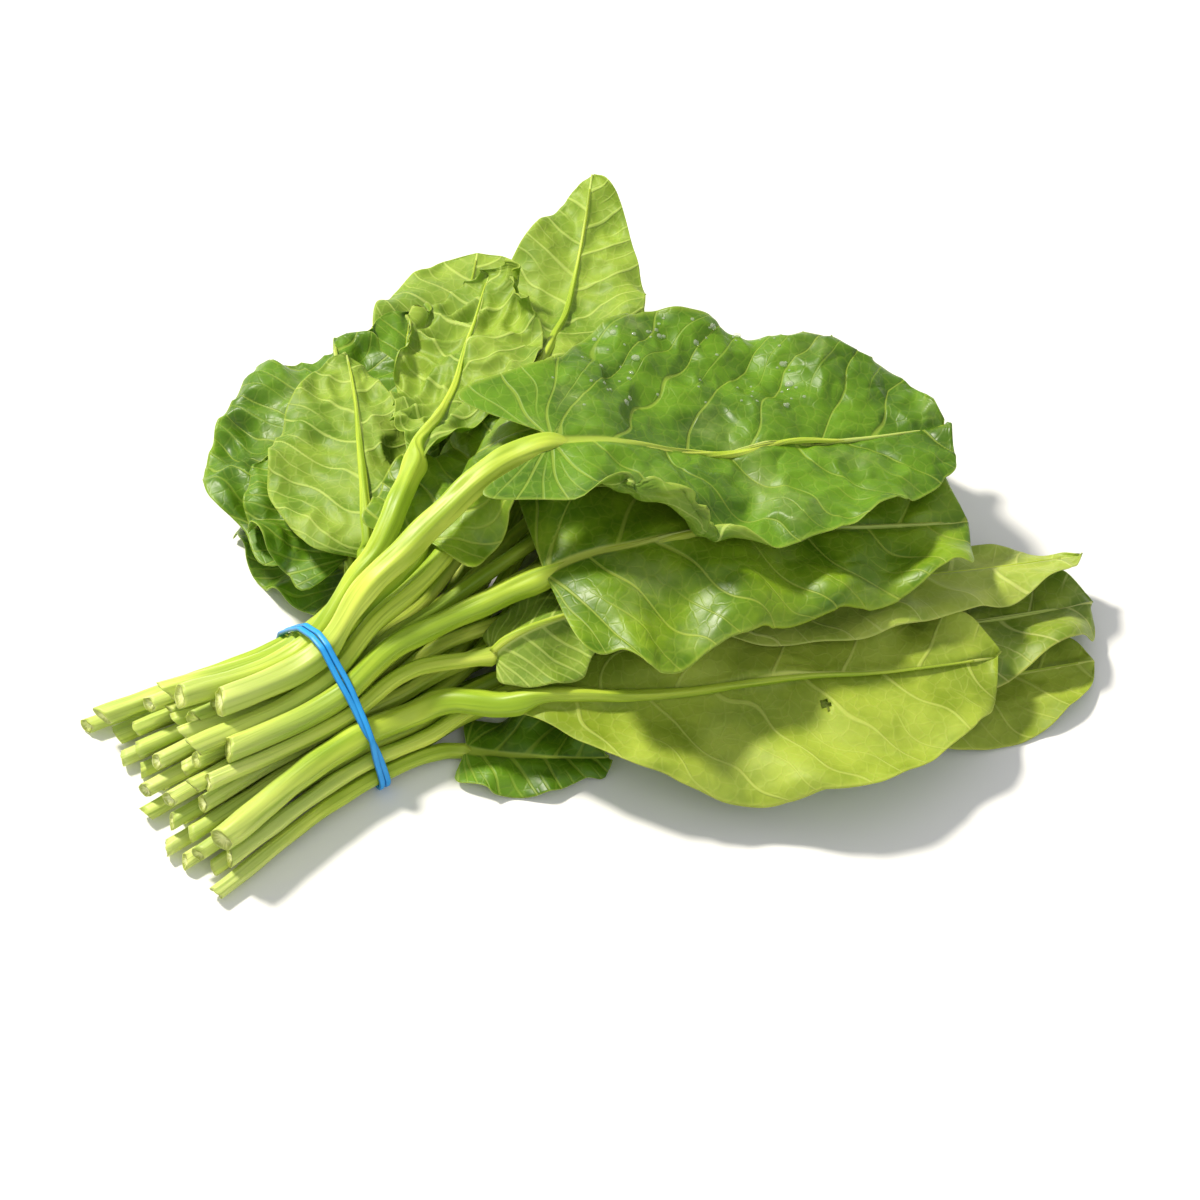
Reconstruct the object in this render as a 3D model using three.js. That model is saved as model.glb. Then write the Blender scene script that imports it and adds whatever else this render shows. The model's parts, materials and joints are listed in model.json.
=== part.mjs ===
// A bunch of spinach, cut, tied round its stems with one doubled rubber band and lying on its side.
//
// Every leaf is one piece: a fleshy stem and the blade that it grows into. The stems are packed side by
// side under the band. Past the band they fan out, and each blade then settles on the leaves below it.
//
// Units are millimetres, +Z is up and z = 0 is the surface that the bunch lies on. While it is laid out,
// +X runs along the stems from the cut ends to the leaves, and the band's middle stands over x = y = 0.
// At the end the whole bunch is moved so that the origin is under the middle of its bounding box.
import * as THREE from 'three';

// ---------------------------------------------------------------- driving dimensions
const CUT_X = -62; // where the longest stems are cut
const CUT_STEP = 3.2; // each layer further up is cut this much shorter
const FREE_X = 18; // from here on a stem leaves its neighbours and heads for its own blade
const STEM_GAP = 0.5; // air between two packed stems
const FLARE = 0.3; // how much wider the bundle is at the cut ends than under the band
const LEAF_THICK = 1.2; // of the solid; the margin runs out to an edge
const LEAF_GAP = 0.5; // least air between a leaf and what it lies on
const STRAND = { wide: 2.5, thick: 1.2, apart: 1.5, gap: 0.8 }; // the band's rubber strand
const BAND_STEPS = 44; // steps in one turn of the band
const PALETTE = { upper: '#5d8a1e', underside: '#a3ba52', rubber: '#1f9fd6' };

// ---------------------------------------------------------------- the leaves, from the bottom up
// base and tip are where the blade starts and ends, seen from above. width is the blade's full width,
// stem the stem's radius and widest how far along the blade is widest. A small shoulder keeps the blade
// broad right up to its base. lobe is how far the two lobes at the base reach back and notch how deeply
// the margin is drawn in behind them. lean moves width from the right side to the left one. fold lifts
// the blade's sides (or drops them, where negative) per millimetre out from the midrib. ruffle is the
// height of the waves along the margin, and bend the turn of the midrib in degrees. lift raises the tip.
// splay moves the cut end sideways. underside shows the pale side. columns is how many points cross it.
const LAYERS = [
  [
    { name: 'low_right_leaf', base: [28, -35], tip: [64, -62], width: 30, ruffle: 4 },
    {
      name: 'far_right_leaf', base: [112, -70], tip: [216, -116], width: 52, widest: 0.6, columns: 9,
      underside: true,
    },
    { name: 'inner_leaf_01', base: [100, -34], tip: [165, -62] },
    { name: 'inner_leaf_02', base: [104, 20], tip: [176, 40] },
    { name: 'inner_leaf_03', base: [80, 66], tip: [120, 114] },
    { name: 'inner_leaf_16', base: [108, -54], tip: [170, -92] },
    { name: 'inner_leaf_14', base: [92, -16], tip: [144, -30] },
    { name: 'inner_leaf_17', base: [98, 0], tip: [150, 4] },
    { name: 'inner_leaf_20', base: [100, 34], tip: [152, 58] },
    {
      name: 'back_yellow_leaf', base: [84, 82], tip: [152, 158], width: 64, widest: 0.62, columns: 9,
      underside: true, stem: 3.3,
    },
    { name: 'low_left_leaf', base: [34, 40], tip: [22, 88], width: 46, lobe: 16, shoulder: 0.35, columns: 7, ruffle: 4 },
  ],
  [
    { name: 'right_lobed_leaf', base: [96, -52], tip: [228, -100], width: 56, shoulder: 0.35, columns: 9 },
    { name: 'inner_leaf_04', base: [104, -44], tip: [164, -74] },
    { name: 'inner_leaf_05', base: [105, 2], tip: [174, -9] },
    { name: 'back_right_leaf', base: [126, 50], tip: [202, 80], width: 46, columns: 7 },
    { name: 'inner_leaf_06', base: [98, 46], tip: [150, 80] },
    { name: 'back_curled_leaf', base: [62, 72], tip: [112, 140], width: 52, fold: 0.45, columns: 9 },
    { name: 'inner_leaf_07', base: [64, 56], tip: [92, 104] },
    { name: 'inner_leaf_18', base: [117, 31], tip: [175, 54] },
    { name: 'inner_leaf_15', base: [84, 44], tip: [122, 78] },
    {
      name: 'left_dark_leaf', base: [36, 46], tip: [74, 126], width: 78, lobe: 16, notch: 0.3, lean: 0.25,
      shoulder: 0.35, columns: 9, stem: 3.4,
    },
  ],
  [
    {
      name: 'broad_pale_leaf', base: [44, -42], tip: [182, -106], width: 76, widest: 0.58, lobe: 0, lean: -0.12,
      columns: 9, underside: true, stem: 4.4, bend: 6, fold: 0.1, splay: -5,
    },
    { name: 'right_pale_leaf', base: [104, -38], tip: [232, -88], width: 46, columns: 9, underside: true },
    { name: 'inner_leaf_08', base: [84, -30], tip: [132, -50], underside: true },
    { name: 'inner_leaf_09', base: [102, -14], tip: [166, -34] },
    { name: 'inner_leaf_10', base: [116, 20], tip: [180, 26] },
    { name: 'back_dark_leaf', base: [96, 62], tip: [150, 122], width: 50, columns: 7 },
    { name: 'inner_leaf_11', base: [90, 50], tip: [134, 84], underside: true },
    {
      name: 'left_ruffled_leaf', base: [30, 36], tip: [32, 88], width: 50, lobe: 10, shoulder: 0.4, columns: 7,
      ruffle: 5,
    },
  ],
  [
    { name: 'rolled_leaf', base: [45, -27], tip: [86, -36], width: 34, lobe: 4, fold: -0.6, columns: 7, underside: true },
    { name: 'inner_leaf_12', base: [120, -6], tip: [182, -20] },
    { name: 'inner_leaf_19', base: [110, -26], tip: [168, -50], underside: true },
    { name: 'inner_leaf_13', base: [105, 35], tip: [158, 57], underside: true },
    {
      name: 'back_upright_leaf', base: [108, 52], tip: [182, 126], width: 58, lift: 40, columns: 9, stem: 3.6,
      underside: true, fold: 0.1,
    },
    {
      name: 'left_pale_leaf', base: [32, 28], tip: [73, 114], width: 48, lobe: 4, lean: 0.3, columns: 9,
      stem: 3.8, underside: true,
    },
  ],
  [
    {
      name: 'right_dark_leaf', base: [68, -20], tip: [200, -66], width: 86, lobe: 6, lean: 0.12, shoulder: 0.3,
      widest: 0.3, columns: 9, stem: 3.9, bend: -8, fold: 0.1,
    },
    { name: 'top_second_leaf', base: [106, 20], tip: [222, -16], width: 94, lobe: 14, columns: 9, stem: 3.5 },
    {
      name: 'centre_glossy_leaf', base: [42, 10], tip: [94, 40], width: 50, lobe: 8, shoulder: 0.35, columns: 9,
      ruffle: 6,
    },
    {
      name: 'left_crinkled_leaf', base: [54, 33], tip: [130, 112], width: 50, widest: 0.6, lobe: 4, shoulder: 0.7,
      columns: 9, stem: 4, underside: true, ruffle: 6,
    },
  ],
  [
    {
      name: 'top_broad_leaf', base: [87, 5], tip: [214, -35], width: 106, lobe: 38, notch: 0.5, lean: 0.16,
      shoulder: 0.4, columns: 9, stem: 4.6, bend: 8, fold: 0.16, ruffle: 5,
    },
  ],
];
const DEFAULTS = {
  width: 42, stem: 2.65, widest: 0.36, shoulder: 0.6, lobe: 8, notch: 0, lean: 0, fold: 0.05, ruffle: 2.5,
  bend: 8, lift: 0, splay: 0, underside: false, columns: 5,
};

// ---------------------------------------------------------------- stations along a leaf
const STEM_STATIONS = 5; // steps from FREE_X to the blade
const BLADE_FINE = [0.04, 0.11, 0.2, 0.31, 0.43, 0.56, 0.69, 0.81, 0.91, 0.98];
const BLADE_PLAIN = [0.06, 0.2, 0.4, 0.62, 0.83, 0.97];
const ACROSS = {
  // where the points across a blade lie, as shares of its half width; 'rib' is the midrib's own edge
  5: [-1, -0.5, 0, 0.5, 1],
  7: [-1, -0.58, 'rib', 0, 'rib', 0.58, 1],
  9: [-1, -0.74, -0.42, 'rib', 0, 'rib', 0.42, 0.74, 1],
};

const { lerp, degToRad, smoothstep } = THREE.MathUtils;
const direction = (angle) => new THREE.Vector2(Math.cos(angle), Math.sin(angle));

// ---------------------------------------------------------------- packing the stems under the band
// The stems of one layer stand in a row, in the order in which their leaves fan out, and each row lies
// on the row below. Then the rows sink together while overlapping neighbours push each other apart.
const BED = STRAND.thick + 2 * STRAND.gap; // the band's own thickness, under the lowest stems

function packStems(layers) {
  const pitch = 2 * DEFAULTS.stem + STEM_GAP;
  layers.forEach((row, level) => {
    const inOrder = [...row].sort((a, b) => fanAngle(a) - fanAngle(b));
    inOrder.forEach((leaf, place) => {
      leaf.packed = { y: (place - (row.length - 1) / 2) * pitch, z: BED + leaf.stem + level * pitch * 0.9 };
    });
  });
  const all = layers.flat();
  for (let pass = 0; pass < 700; pass++) {
    if (pass < 400)
      for (const { packed } of all) {
        packed.y *= 0.9962;
        packed.z -= 0.05;
      }
    for (const a of all) for (const b of all) if (a !== b) pushApart(a, b);
    for (const leaf of all) leaf.packed.z = Math.max(leaf.packed.z, BED + leaf.stem);
  }
}

function pushApart(a, b) {
  const dy = b.packed.y - a.packed.y;
  const dz = b.packed.z - a.packed.z;
  const apart = Math.hypot(dy, dz);
  const overlap = a.stem + b.stem + STEM_GAP - apart;
  if (overlap <= 0) return;
  const share = (overlap / apart) * 0.5;
  a.packed.y -= dy * share;
  a.packed.z -= dz * share;
  b.packed.y += dy * share;
  b.packed.z += dz * share;
}

function fanAngle(leaf) {
  return Math.atan2(leaf.base[1] + leaf.tip[1], leaf.base[0] + leaf.tip[0]);
}

// The middle of a packed stem at x. Away from the band the stems run in straight lines that spread
// evenly, so those that are clear under the band stay clear, and they come down onto the surface.
function packedAt(leaf, x) {
  const away = x / CUT_X;
  const spread = 1 + (x < 0 ? FLARE : -FLARE / 2) * away;
  const sink = Math.min(1, Math.abs(away)) * BED;
  const splay = x < 0 ? leaf.splay * away : 0;
  return new THREE.Vector3(x, leaf.packed.y * spread + splay, leaf.packed.z * lerp(1, spread, 0.4) - sink);
}

// ---------------------------------------------------------------- fanning the stems out
// A stem's way is a line of points: three that are packed, then free ones, and last the blade's base.
function routeStem(leaf, order) {
  const cut = CUT_X + CUT_STEP * leaf.level + 5 * Math.sin(order * 2.4);
  const start = packedAt(leaf, FREE_X);
  leaf.route = [packedAt(leaf, cut), packedAt(leaf, 0), start];
  const base = new THREE.Vector2(...leaf.base);
  const chord = new THREE.Vector2(...leaf.tip).sub(base).angle();
  const reach = Math.hypot(base.x - start.x, base.y - start.y);
  leaf.heading = chord - degToRad(leaf.bend) / 2;
  const out = new THREE.Vector2(start.x, start.y);
  for (let i = 1; i <= STEM_STATIONS; i++) {
    const t = i / STEM_STATIONS;
    const p = hermite(out, new THREE.Vector2(1, 0), base, direction(leaf.heading), reach, t);
    leaf.route.push(new THREE.Vector3(p.x, p.y, lerp(start.z, leaf.stem + 4 * leaf.level, smoothstep(t, 0, 1))));
  }
  leaf.drawn = leaf.route.map((p) => p.clone());
}

// A cubic curve from a to b that leaves along wayA and arrives along wayB.
function hermite(a, wayA, b, wayB, reach, t) {
  const [t2, t3] = [t * t, t * t * t];
  return new THREE.Vector2()
    .addScaledVector(a, 2 * t3 - 3 * t2 + 1)
    .addScaledVector(wayA, (t3 - 2 * t2 + t) * reach)
    .addScaledVector(b, 3 * t2 - 2 * t3)
    .addScaledVector(wayB, (t3 - t2) * reach);
}

// The free stretches push each other apart, the upper leaf's stem upwards. After each push a stem evens
// out how far its points have moved, as a springy stalk does. The last passes only push.
const PACKED = 3; // points of a route that don't move
const PUSHES = 400;

function fanOut(leaves) {
  for (let pass = 0; pass < PUSHES; pass++) {
    for (let i = 0; i < leaves.length; i++)
      for (let j = i + 1; j < leaves.length; j++) partStems(leaves[i], leaves[j]);
    for (const leaf of leaves) {
      for (const p of leaf.route) p.z = Math.max(p.z, leaf.stem);
      const end = leaf.route.at(-1);
      [end.x, end.y] = leaf.base;
      if (pass < PUSHES - 60) springBack(leaf);
    }
  }
}

function springBack({ route, drawn }) {
  for (let i = PACKED; i < route.length; i++) {
    const near = [i - 1, Math.min(i + 1, route.length - 1)];
    const moved = new THREE.Vector3();
    for (const k of near) moved.add(route[k]).sub(drawn[k]);
    route[i].lerp(moved.multiplyScalar(0.5).add(drawn[i]), 0.12);
  }
}

function partStems(a, b) {
  const least = a.stem + b.stem + 1.5 * STEM_GAP;
  for (let i = PACKED - 2; i + 1 < a.route.length; i++)
    for (let j = PACKED - 2; j + 1 < b.route.length; j++) {
      if (i < PACKED - 1 && j < PACKED - 1) continue;
      const [p, q, r, s] = [a.route[i], a.route[i + 1], b.route[j], b.route[j + 1]];
      const { u, v, gap } = closest(p, q, r, s);
      if (gap.length() >= least) continue;
      if (b.level > a.level) gap.z += 0.2 * least;
      const size = gap.length() || 1;
      const push = gap.multiplyScalar((least - Math.min(size, least * 0.98)) / size);
      const weights = [-(1 - u), -u, 1 - v, v];
      const free = [i >= PACKED, i + 1 >= PACKED, j >= PACKED, j + 1 >= PACKED];
      const total = weights.reduce((sum, w, k) => sum + (free[k] ? w * w : 0), 0);
      if (total < 0.05) continue;
      [p, q, r, s].forEach((point, k) => {
        if (free[k]) point.addScaledVector(push, (weights[k] / total) * 0.5);
      });
    }
}

// The shares along pq and rs of the two points that are closest, and the way from the one to the other.
function closest(p, q, r, s) {
  const d1 = q.clone().sub(p);
  const d2 = s.clone().sub(r);
  const between = p.clone().sub(r);
  const [aa, bb, ab] = [d1.dot(d1), d2.dot(d2), d1.dot(d2)];
  const [ac, bc] = [d1.dot(between), d2.dot(between)];
  const clamp = (x) => Math.min(1, Math.max(0, x));
  let u = clamp((ab * bc - bb * ac) / (aa * bb - ab * ab + 1e-9));
  const v = clamp((ab * u + bc) / bb);
  u = clamp((ab * v - ac) / aa);
  const gap = r.clone().addScaledVector(d2, v).sub(p).addScaledVector(d1, -u);
  return { u, v, gap };
}

// ---------------------------------------------------------------- one leaf as rings of points
// A ring holds one point per column along the top and one along the bottom. The two outer columns meet
// in one point, the margin. Each column can be raised, which settles the leaf on what it lies on.
function layOut(leaf, order) {
  const { route } = leaf;
  leaf.rings = route.map((at, i) => {
    const way = route[Math.min(i + 1, route.length - 1)].clone().sub(route[Math.max(i - 1, 0)]);
    const heading = i < PACKED ? 0 : i === route.length - 1 ? leaf.heading : Math.atan2(way.y, way.x);
    return stemRing(leaf, at, direction(heading), i < PACKED);
  });
  const base = new THREE.Vector2(...leaf.base);
  const span = new THREE.Vector2(...leaf.tip).sub(base);
  const turn = degToRad(leaf.bend);
  const blade = { base, chord: span.angle(), length: span.length(), turn, height: route.at(-1).z };
  blade.phase = order * 0.618;
  for (const s of leaf.columns > 5 ? BLADE_FINE : BLADE_PLAIN) leaf.rings.push(bladeRing(leaf, blade, s));
  const end = arcPoint(blade, 1);
  leaf.tipPoint = { x: end.x, y: end.y, z: bladeHeight(leaf, blade, 1) };
}

// A point at share s of an arc that starts at the base, turns by turn and ends one chord further on.
function arcPoint({ base, chord, turn, length }, s) {
  if (Math.abs(turn) < 1e-6) return direction(chord).multiplyScalar(length * s).add(base);
  const radius = length / 2 / Math.sin(turn / 2);
  const from = chord - turn / 2 - Math.PI / 2;
  const leg = direction(from + turn * s).sub(direction(from));
  return leg.multiplyScalar(radius).add(base);
}

// The stem holds the blade's base up. The blade droops from there onto what it lies on.
const DROOP = 50;

function bladeHeight(leaf, { height, length }, s) {
  return lerp(height, leaf.stem, smoothstep(s * length, 0, DROOP)) + leaf.lift * s * s;
}

function stemRing(leaf, middle, way, fixed) {
  const columns = [];
  for (let j = 0; j < leaf.columns; j++) {
    const edge = j === 0 || j === leaf.columns - 1;
    const turned = (Math.PI * j) / (leaf.columns - 1);
    const side = Math.cos(turned) * leaf.stem;
    const half = edge ? 0 : Math.sin(turned) * leaf.stem;
    columns.push({
      x: middle.x - way.y * side,
      y: middle.y + way.x * side,
      top: middle.z + half,
      bottom: middle.z - half,
      raised: 0,
      fixed,
    });
  }
  return { columns, fixed, stem: true };
}

// The blade's half width swells from the base, is widest at leaf.widest and rounds off at the tip.
function halfWidth(leaf, s) {
  const power = Math.log(0.5) / Math.log(leaf.widest);
  const drawnIn = 1 - leaf.notch * Math.exp(-((s / 0.13) ** 2));
  return Math.max((leaf.width / 2) * Math.sin(Math.PI * s ** power) ** leaf.shoulder * drawnIn, leaf.stem * 0.8);
}

function bladeRing(leaf, blade, s) {
  const at = arcPoint(blade, s);
  const way = direction(blade.chord + blade.turn * (s - 0.5));
  const half = halfWidth(leaf, s);
  const rib = lerp(leaf.stem, 0.8, Math.min(1, s * 1.3)); // the midrib's half width and its depth
  const back = leaf.lobe * Math.exp(-((s / 0.08) ** 2));
  const height = bladeHeight(leaf, blade, s);
  const columns = ACROSS[leaf.columns].map((place, j) => {
    const sign = j < leaf.columns / 2 ? 1 : -1;
    const wide = half * (1 + sign * leaf.lean);
    const out = place === 'rib' ? Math.min(rib / wide, 0.25) : Math.abs(place);
    const side = sign * out * wide;
    const behind = back * out ** 1.6;
    const wave = Math.sin(2 * Math.PI * (2.2 * s + 0.3 * sign + blade.phase)) * Math.min(1, 6 * s);
    const middle = height + wide * leaf.fold * out + leaf.ruffle * out ** 1.5 * wave;
    const thick = out === 1 ? 0 : LEAF_THICK / 2;
    const keel = place === 0 ? rib : 0;
    return {
      x: at.x - way.y * side - way.x * behind,
      y: at.y + way.x * side - way.y * behind,
      top: middle + thick + (leaf.underside ? keel : 0),
      bottom: middle - thick - (leaf.underside ? 0 : keel),
      raised: 0,
      fixed: false,
    };
  });
  return { columns, fixed: false, stem: false };
}

// ---------------------------------------------------------------- a leaf's points and triangles
// Points go ring by ring: the top from left to right, then the bottom from right to left. The first
// point closes the cut end and the last one closes the tip. Each belongs to a column, and on the
// bottom or the top of it. The squares between two rings are split along the same diagonal on the top
// and on the bottom, so that a twisted blade keeps its thickness.
function skin(leaf) {
  const n = leaf.columns;
  const loop = 2 * n - 2;
  const middle = (n - 1) / 2;
  const first = leaf.rings[0].columns[middle];
  const last = leaf.rings.at(-1).columns[middle];
  const points = [{ x: first.x, y: first.y, z: (first.top + first.bottom) / 2, column: first, low: true }];
  for (const ring of leaf.rings)
    for (let k = 0; k < loop; k++) {
      const low = k === 0 || k >= n - 1;
      const column = ring.columns[k < n ? k : loop - k];
      points.push({ x: column.x, y: column.y, z: low ? column.bottom : column.top, column, low });
    }
  points.push({ ...leaf.tipPoint, column: last, low: true });

  const faces = [];
  const at = (ring, k) => 1 + ring * loop + (k % loop);
  const end = leaf.rings.length - 1;
  for (let k = 0; k < loop; k++) faces.push([0, at(0, k + 1), at(0, k)]);
  for (let ring = 0; ring < end; ring++)
    for (let k = 0; k < loop; k++) {
      const corners = [at(ring, k), at(ring, k + 1), at(ring + 1, k + 1), at(ring + 1, k)];
      if (k >= n - 1) corners.push(corners.shift());
      const [a, b, c, d] = corners;
      faces.push([a, b, c], [a, c, d]);
    }
  for (let k = 0; k < loop; k++) faces.push([points.length - 1, at(end, k), at(end, k + 1)]);
  return { points, faces };
}

const settledPoint = ({ x, y, z, column }) => [x, y, z + column.raised];

// ---------------------------------------------------------------- settling the leaves on each other
// The pile is a map of heights: the top of all that lies there so far, on a grid of small cells. One
// map holds everything, for the blades, and one holds the blades alone, for the stems, because stems
// may also lie side by side.
const CELL = 1.2;
const MAP = { low: -170, cells: 300 };
const pileOf = { all: emptyMap(), blades: emptyMap() };

function emptyMap() {
  return new Float32Array(MAP.cells * MAP.cells).fill(-LEAF_GAP);
}

function cellAt(x, y) {
  return Math.round((y - MAP.low) / CELL) * MAP.cells + Math.round((x - MAP.low) / CELL);
}

// Points spread over a triangle, less than a cell apart, each with its share of the three corners.
function spreadOver(corners) {
  const [a, b, c] = corners;
  const side = (p, q) => Math.hypot(p.x - q.x, p.y - q.y);
  const steps = Math.max(1, Math.ceil(Math.max(side(a, b), side(b, c), side(c, a)) / (CELL * 0.9)));
  const spread = [];
  for (let i = 0; i <= steps; i++)
    for (let j = 0; j <= steps - i; j++) {
      const weights = [(steps - i - j) / steps, i / steps, j / steps];
      const sum = (key) => weights.reduce((total, w, k) => total + w * corners[k][key], 0);
      const held = weights.reduce((total, w, k) => total + (corners[k].column.fixed ? w : 0), 0);
      spread.push({ cell: cellAt(sum('x'), sum('y')), z: sum('z'), weights, corners, held });
    }
  return spread;
}

const heightOf = ({ z, weights, corners }) =>
  z + weights[0] * corners[0].column.raised + weights[1] * corners[1].column.raised + weights[2] * corners[2].column.raised;

function addToPile(leaf) {
  const { points, faces } = skin(leaf);
  const bladeStart = 1 + (2 * leaf.columns - 2) * leaf.route.length;
  for (const face of faces) {
    const blade = Math.max(...face) >= bladeStart;
    for (const spot of spreadOver(face.map((i) => points[i]))) {
      const z = heightOf(spot);
      pileOf.all[spot.cell] = Math.max(pileOf.all[spot.cell], z);
      if (blade) pileOf.blades[spot.cell] = Math.max(pileOf.blades[spot.cell], z);
    }
  }
}

// The highest of each cell and its eight neighbours, so that a leaf stays clear sideways too.
function widened(map) {
  const made = map.slice();
  const { cells } = MAP;
  for (let i = cells + 1; i < map.length - cells - 1; i++)
    for (const row of [i - cells, i, i + cells]) made[i] = Math.max(made[i], map[row - 1], map[row], map[row + 1]);
  return made;
}

// Stems that lie near each other, seen from above, are compared as round rods, point against point.
const ROD_STEP = 1.5;
const HELD = 0.6; // a point that hangs this much on columns that can't move is left alone
const rods = []; // points along the middle of every stem that has settled

function rodPoints(leaf) {
  const points = [];
  for (let i = PACKED - 1; i + 1 < leaf.route.length; i++) {
    const [p, q] = [leaf.route[i], leaf.route[i + 1]];
    const steps = Math.ceil(p.distanceTo(q) / ROD_STEP);
    const columns = [leaf.rings[i].columns[0], leaf.rings[i + 1].columns[0]];
    for (let k = 1; k <= steps; k++) {
      const t = k / steps;
      const at = new THREE.Vector3().lerpVectors(p, q, t);
      points.push({ x: at.x, y: at.y, z: at.z, weights: [1 - t, t], columns, stem: leaf.stem });
    }
  }
  return points;
}

const rodHeight = ({ z, weights, columns }) => z + weights[0] * columns[0].raised + weights[1] * columns[1].raised;

// Pairs of a point on this stem and one on a settled stem that are near each other, seen from above.
function nearRods(leaf) {
  const pairs = [];
  for (const point of rodPoints(leaf)) {
    if (point.columns[0].fixed && point.weights[0] > HELD) continue;
    for (const rod of rods) {
      const least = point.stem + rod.stem + STEM_GAP;
      const apart = Math.hypot(point.x - rod.x, point.y - rod.y);
      if (apart < least) pairs.push({ point, top: rod.z, rise: Math.sqrt(least * least - apart * apart) });
    }
  }
  return pairs;
}

function liftOffRods(pairs, lifts) {
  for (const { point, top, rise } of pairs) {
    const need = top + rise - rodHeight(point);
    if (need <= 0 || need >= 2 * rise) continue;
    const share = need / (point.weights[0] ** 2 + point.weights[1] ** 2);
    point.columns.forEach((column, k) => {
      const lift = share * point.weights[k];
      if (!column.fixed && lift > (lifts.get(column) ?? 0)) lifts.set(column, lift);
    });
  }
}

// Lifts the leaf's columns until its underside is clear of the pile, and evens out the lift between
// lifts, as a stiff sheet does. The last passes only lift.
const PASSES = 90;
const LAST_LIFTS = 30;

function settle(leaf) {
  const spots = undersideSpots(leaf);
  const pairs = nearRods(leaf);
  for (let pass = 0; pass < PASSES; pass++) {
    const last = pass >= PASSES - LAST_LIFTS;
    const lifts = new Map();
    liftOffRods(pairs, lifts);
    for (const spot of spots) {
      const need = spot.support + LEAF_GAP - heightOf(spot);
      if (need <= 0) continue;
      const share = need / spot.weights.reduce((sum, w) => sum + w * w, 0);
      spot.corners.forEach(({ column }, k) => {
        const lift = share * spot.weights[k];
        if (!column.fixed && lift > (lifts.get(column) ?? 0)) lifts.set(column, lift);
      });
    }
    for (const [column, lift] of lifts) column.raised += lift * (last ? 1.02 : 0.7);
    keepStemWhole(leaf);
    if (!last) evenOut(leaf);
  }
  for (const point of rodPoints(leaf)) rods.push({ ...point, z: rodHeight(point) });
}

function undersideSpots(leaf) {
  const { points, faces } = skin(leaf);
  const under = { all: widened(pileOf.all), blades: widened(pileOf.blades) };
  const bladeStart = 1 + (2 * leaf.columns - 2) * leaf.route.length;
  const spots = [];
  for (const face of faces) {
    const corners = face.map((i) => points[i]);
    if (!corners.every((p) => p.low)) continue;
    const map = Math.max(...face) >= bladeStart ? under.all : under.blades;
    for (const spot of spreadOver(corners)) if (spot.held < HELD) spots.push({ ...spot, support: map[spot.cell] });
  }
  return spots;
}

// A stem's ring is lifted as one, by what its neediest column needs.
function keepStemWhole(leaf) {
  for (const ring of leaf.rings) {
    if (!ring.stem || ring.fixed) continue;
    const most = Math.max(...ring.columns.map((c) => c.raised));
    for (const column of ring.columns) column.raised = most;
  }
}

function evenOut({ rings }) {
  const before = rings.map((ring) => ring.columns.map((c) => c.raised));
  rings.forEach((ring, i) => {
    if (ring.fixed) return;
    ring.columns.forEach((column, j) => {
      const here = before[i][j];
      const around = [before[i - 1][j], before[i + 1]?.[j] ?? here];
      if (!ring.stem) around.push(before[i][j - 1] ?? here, before[i][j + 1] ?? here);
      const mean = around.reduce((a, b) => a + b) / around.length;
      column.raised = lerp(here, mean, 0.5);
    });
  });
}

// ---------------------------------------------------------------- the rubber band
// It lies round the packed stems as a taut line does: on the outermost stems, and straight between them.
function aroundStems(stems, clear, steps) {
  const outline = [];
  const TURN = 720;
  for (let i = 0; i < TURN; i++) {
    const angle = (2 * Math.PI * i) / TURN;
    const out = new THREE.Vector2(Math.cos(angle), Math.sin(angle));
    const reach = (leaf) => leaf.packed.y * out.x + leaf.packed.z * out.y + leaf.stem;
    const outer = stems.reduce((best, leaf) => (reach(leaf) > reach(best) ? leaf : best));
    outline.push(new THREE.Vector2(outer.packed.y, outer.packed.z).addScaledVector(out, outer.stem + clear));
  }
  outline.push(outline[0].clone());
  return new THREE.Path(outline).getSpacedPoints(steps).slice(0, steps);
}

// The strand goes round twice. It lies beside itself, and steps across itself once, where it is thicker.
function bandGeometry(stems) {
  const clear = STRAND.gap + STRAND.thick / 2;
  const path = aroundStems(stems, clear, BAND_STEPS);
  const middle = path.reduce((sum, p) => sum.add(p), new THREE.Vector2()).divideScalar(path.length);
  const line = [];
  for (let i = 0; i < 2 * BAND_STEPS; i++) {
    const turn = i / BAND_STEPS; // 0 to 2; the strand crosses itself at 0.5 and 1.5
    const across = Math.tanh(7 * Math.cos(Math.PI * turn)) * STRAND.apart;
    const over = Math.exp(-(((turn - 1.5) / 0.13) ** 2)) * (STRAND.thick + STRAND.gap);
    const p = path[i % BAND_STEPS];
    const out = p.clone().sub(middle).normalize();
    line.push({ x: across, y: p.x + out.x * over, z: p.y + out.y * over, out });
  }
  const SIDES = 6;
  const points = [];
  for (const { x, y, z, out } of line)
    for (let k = 0; k < SIDES; k++) {
      const angle = (2 * Math.PI * k) / SIDES;
      const axial = (Math.cos(angle) * STRAND.wide) / 2;
      const radial = (Math.sin(angle) * STRAND.thick) / 2 / Math.sin(Math.PI / 3);
      points.push([x + axial, y + out.x * radial, z + out.y * radial]);
    }
  const at = (i, k) => (i % line.length) * SIDES + (k % SIDES);
  const faces = [];
  for (let i = 0; i < line.length; i++)
    for (let k = 0; k < SIDES; k++) {
      faces.push([at(i, k), at(i + 1, k + 1), at(i + 1, k)]);
      faces.push([at(i, k), at(i, k + 1), at(i + 1, k + 1)]);
    }
  return solid(points, faces);
}

// ---------------------------------------------------------------- putting the bunch together
function solid(points, faces) {
  const geometry = new THREE.BufferGeometry();
  geometry.setAttribute('position', new THREE.Float32BufferAttribute(points.flat(), 3));
  geometry.setIndex(faces.flat());
  geometry.computeVertexNormals();
  return geometry;
}

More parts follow.
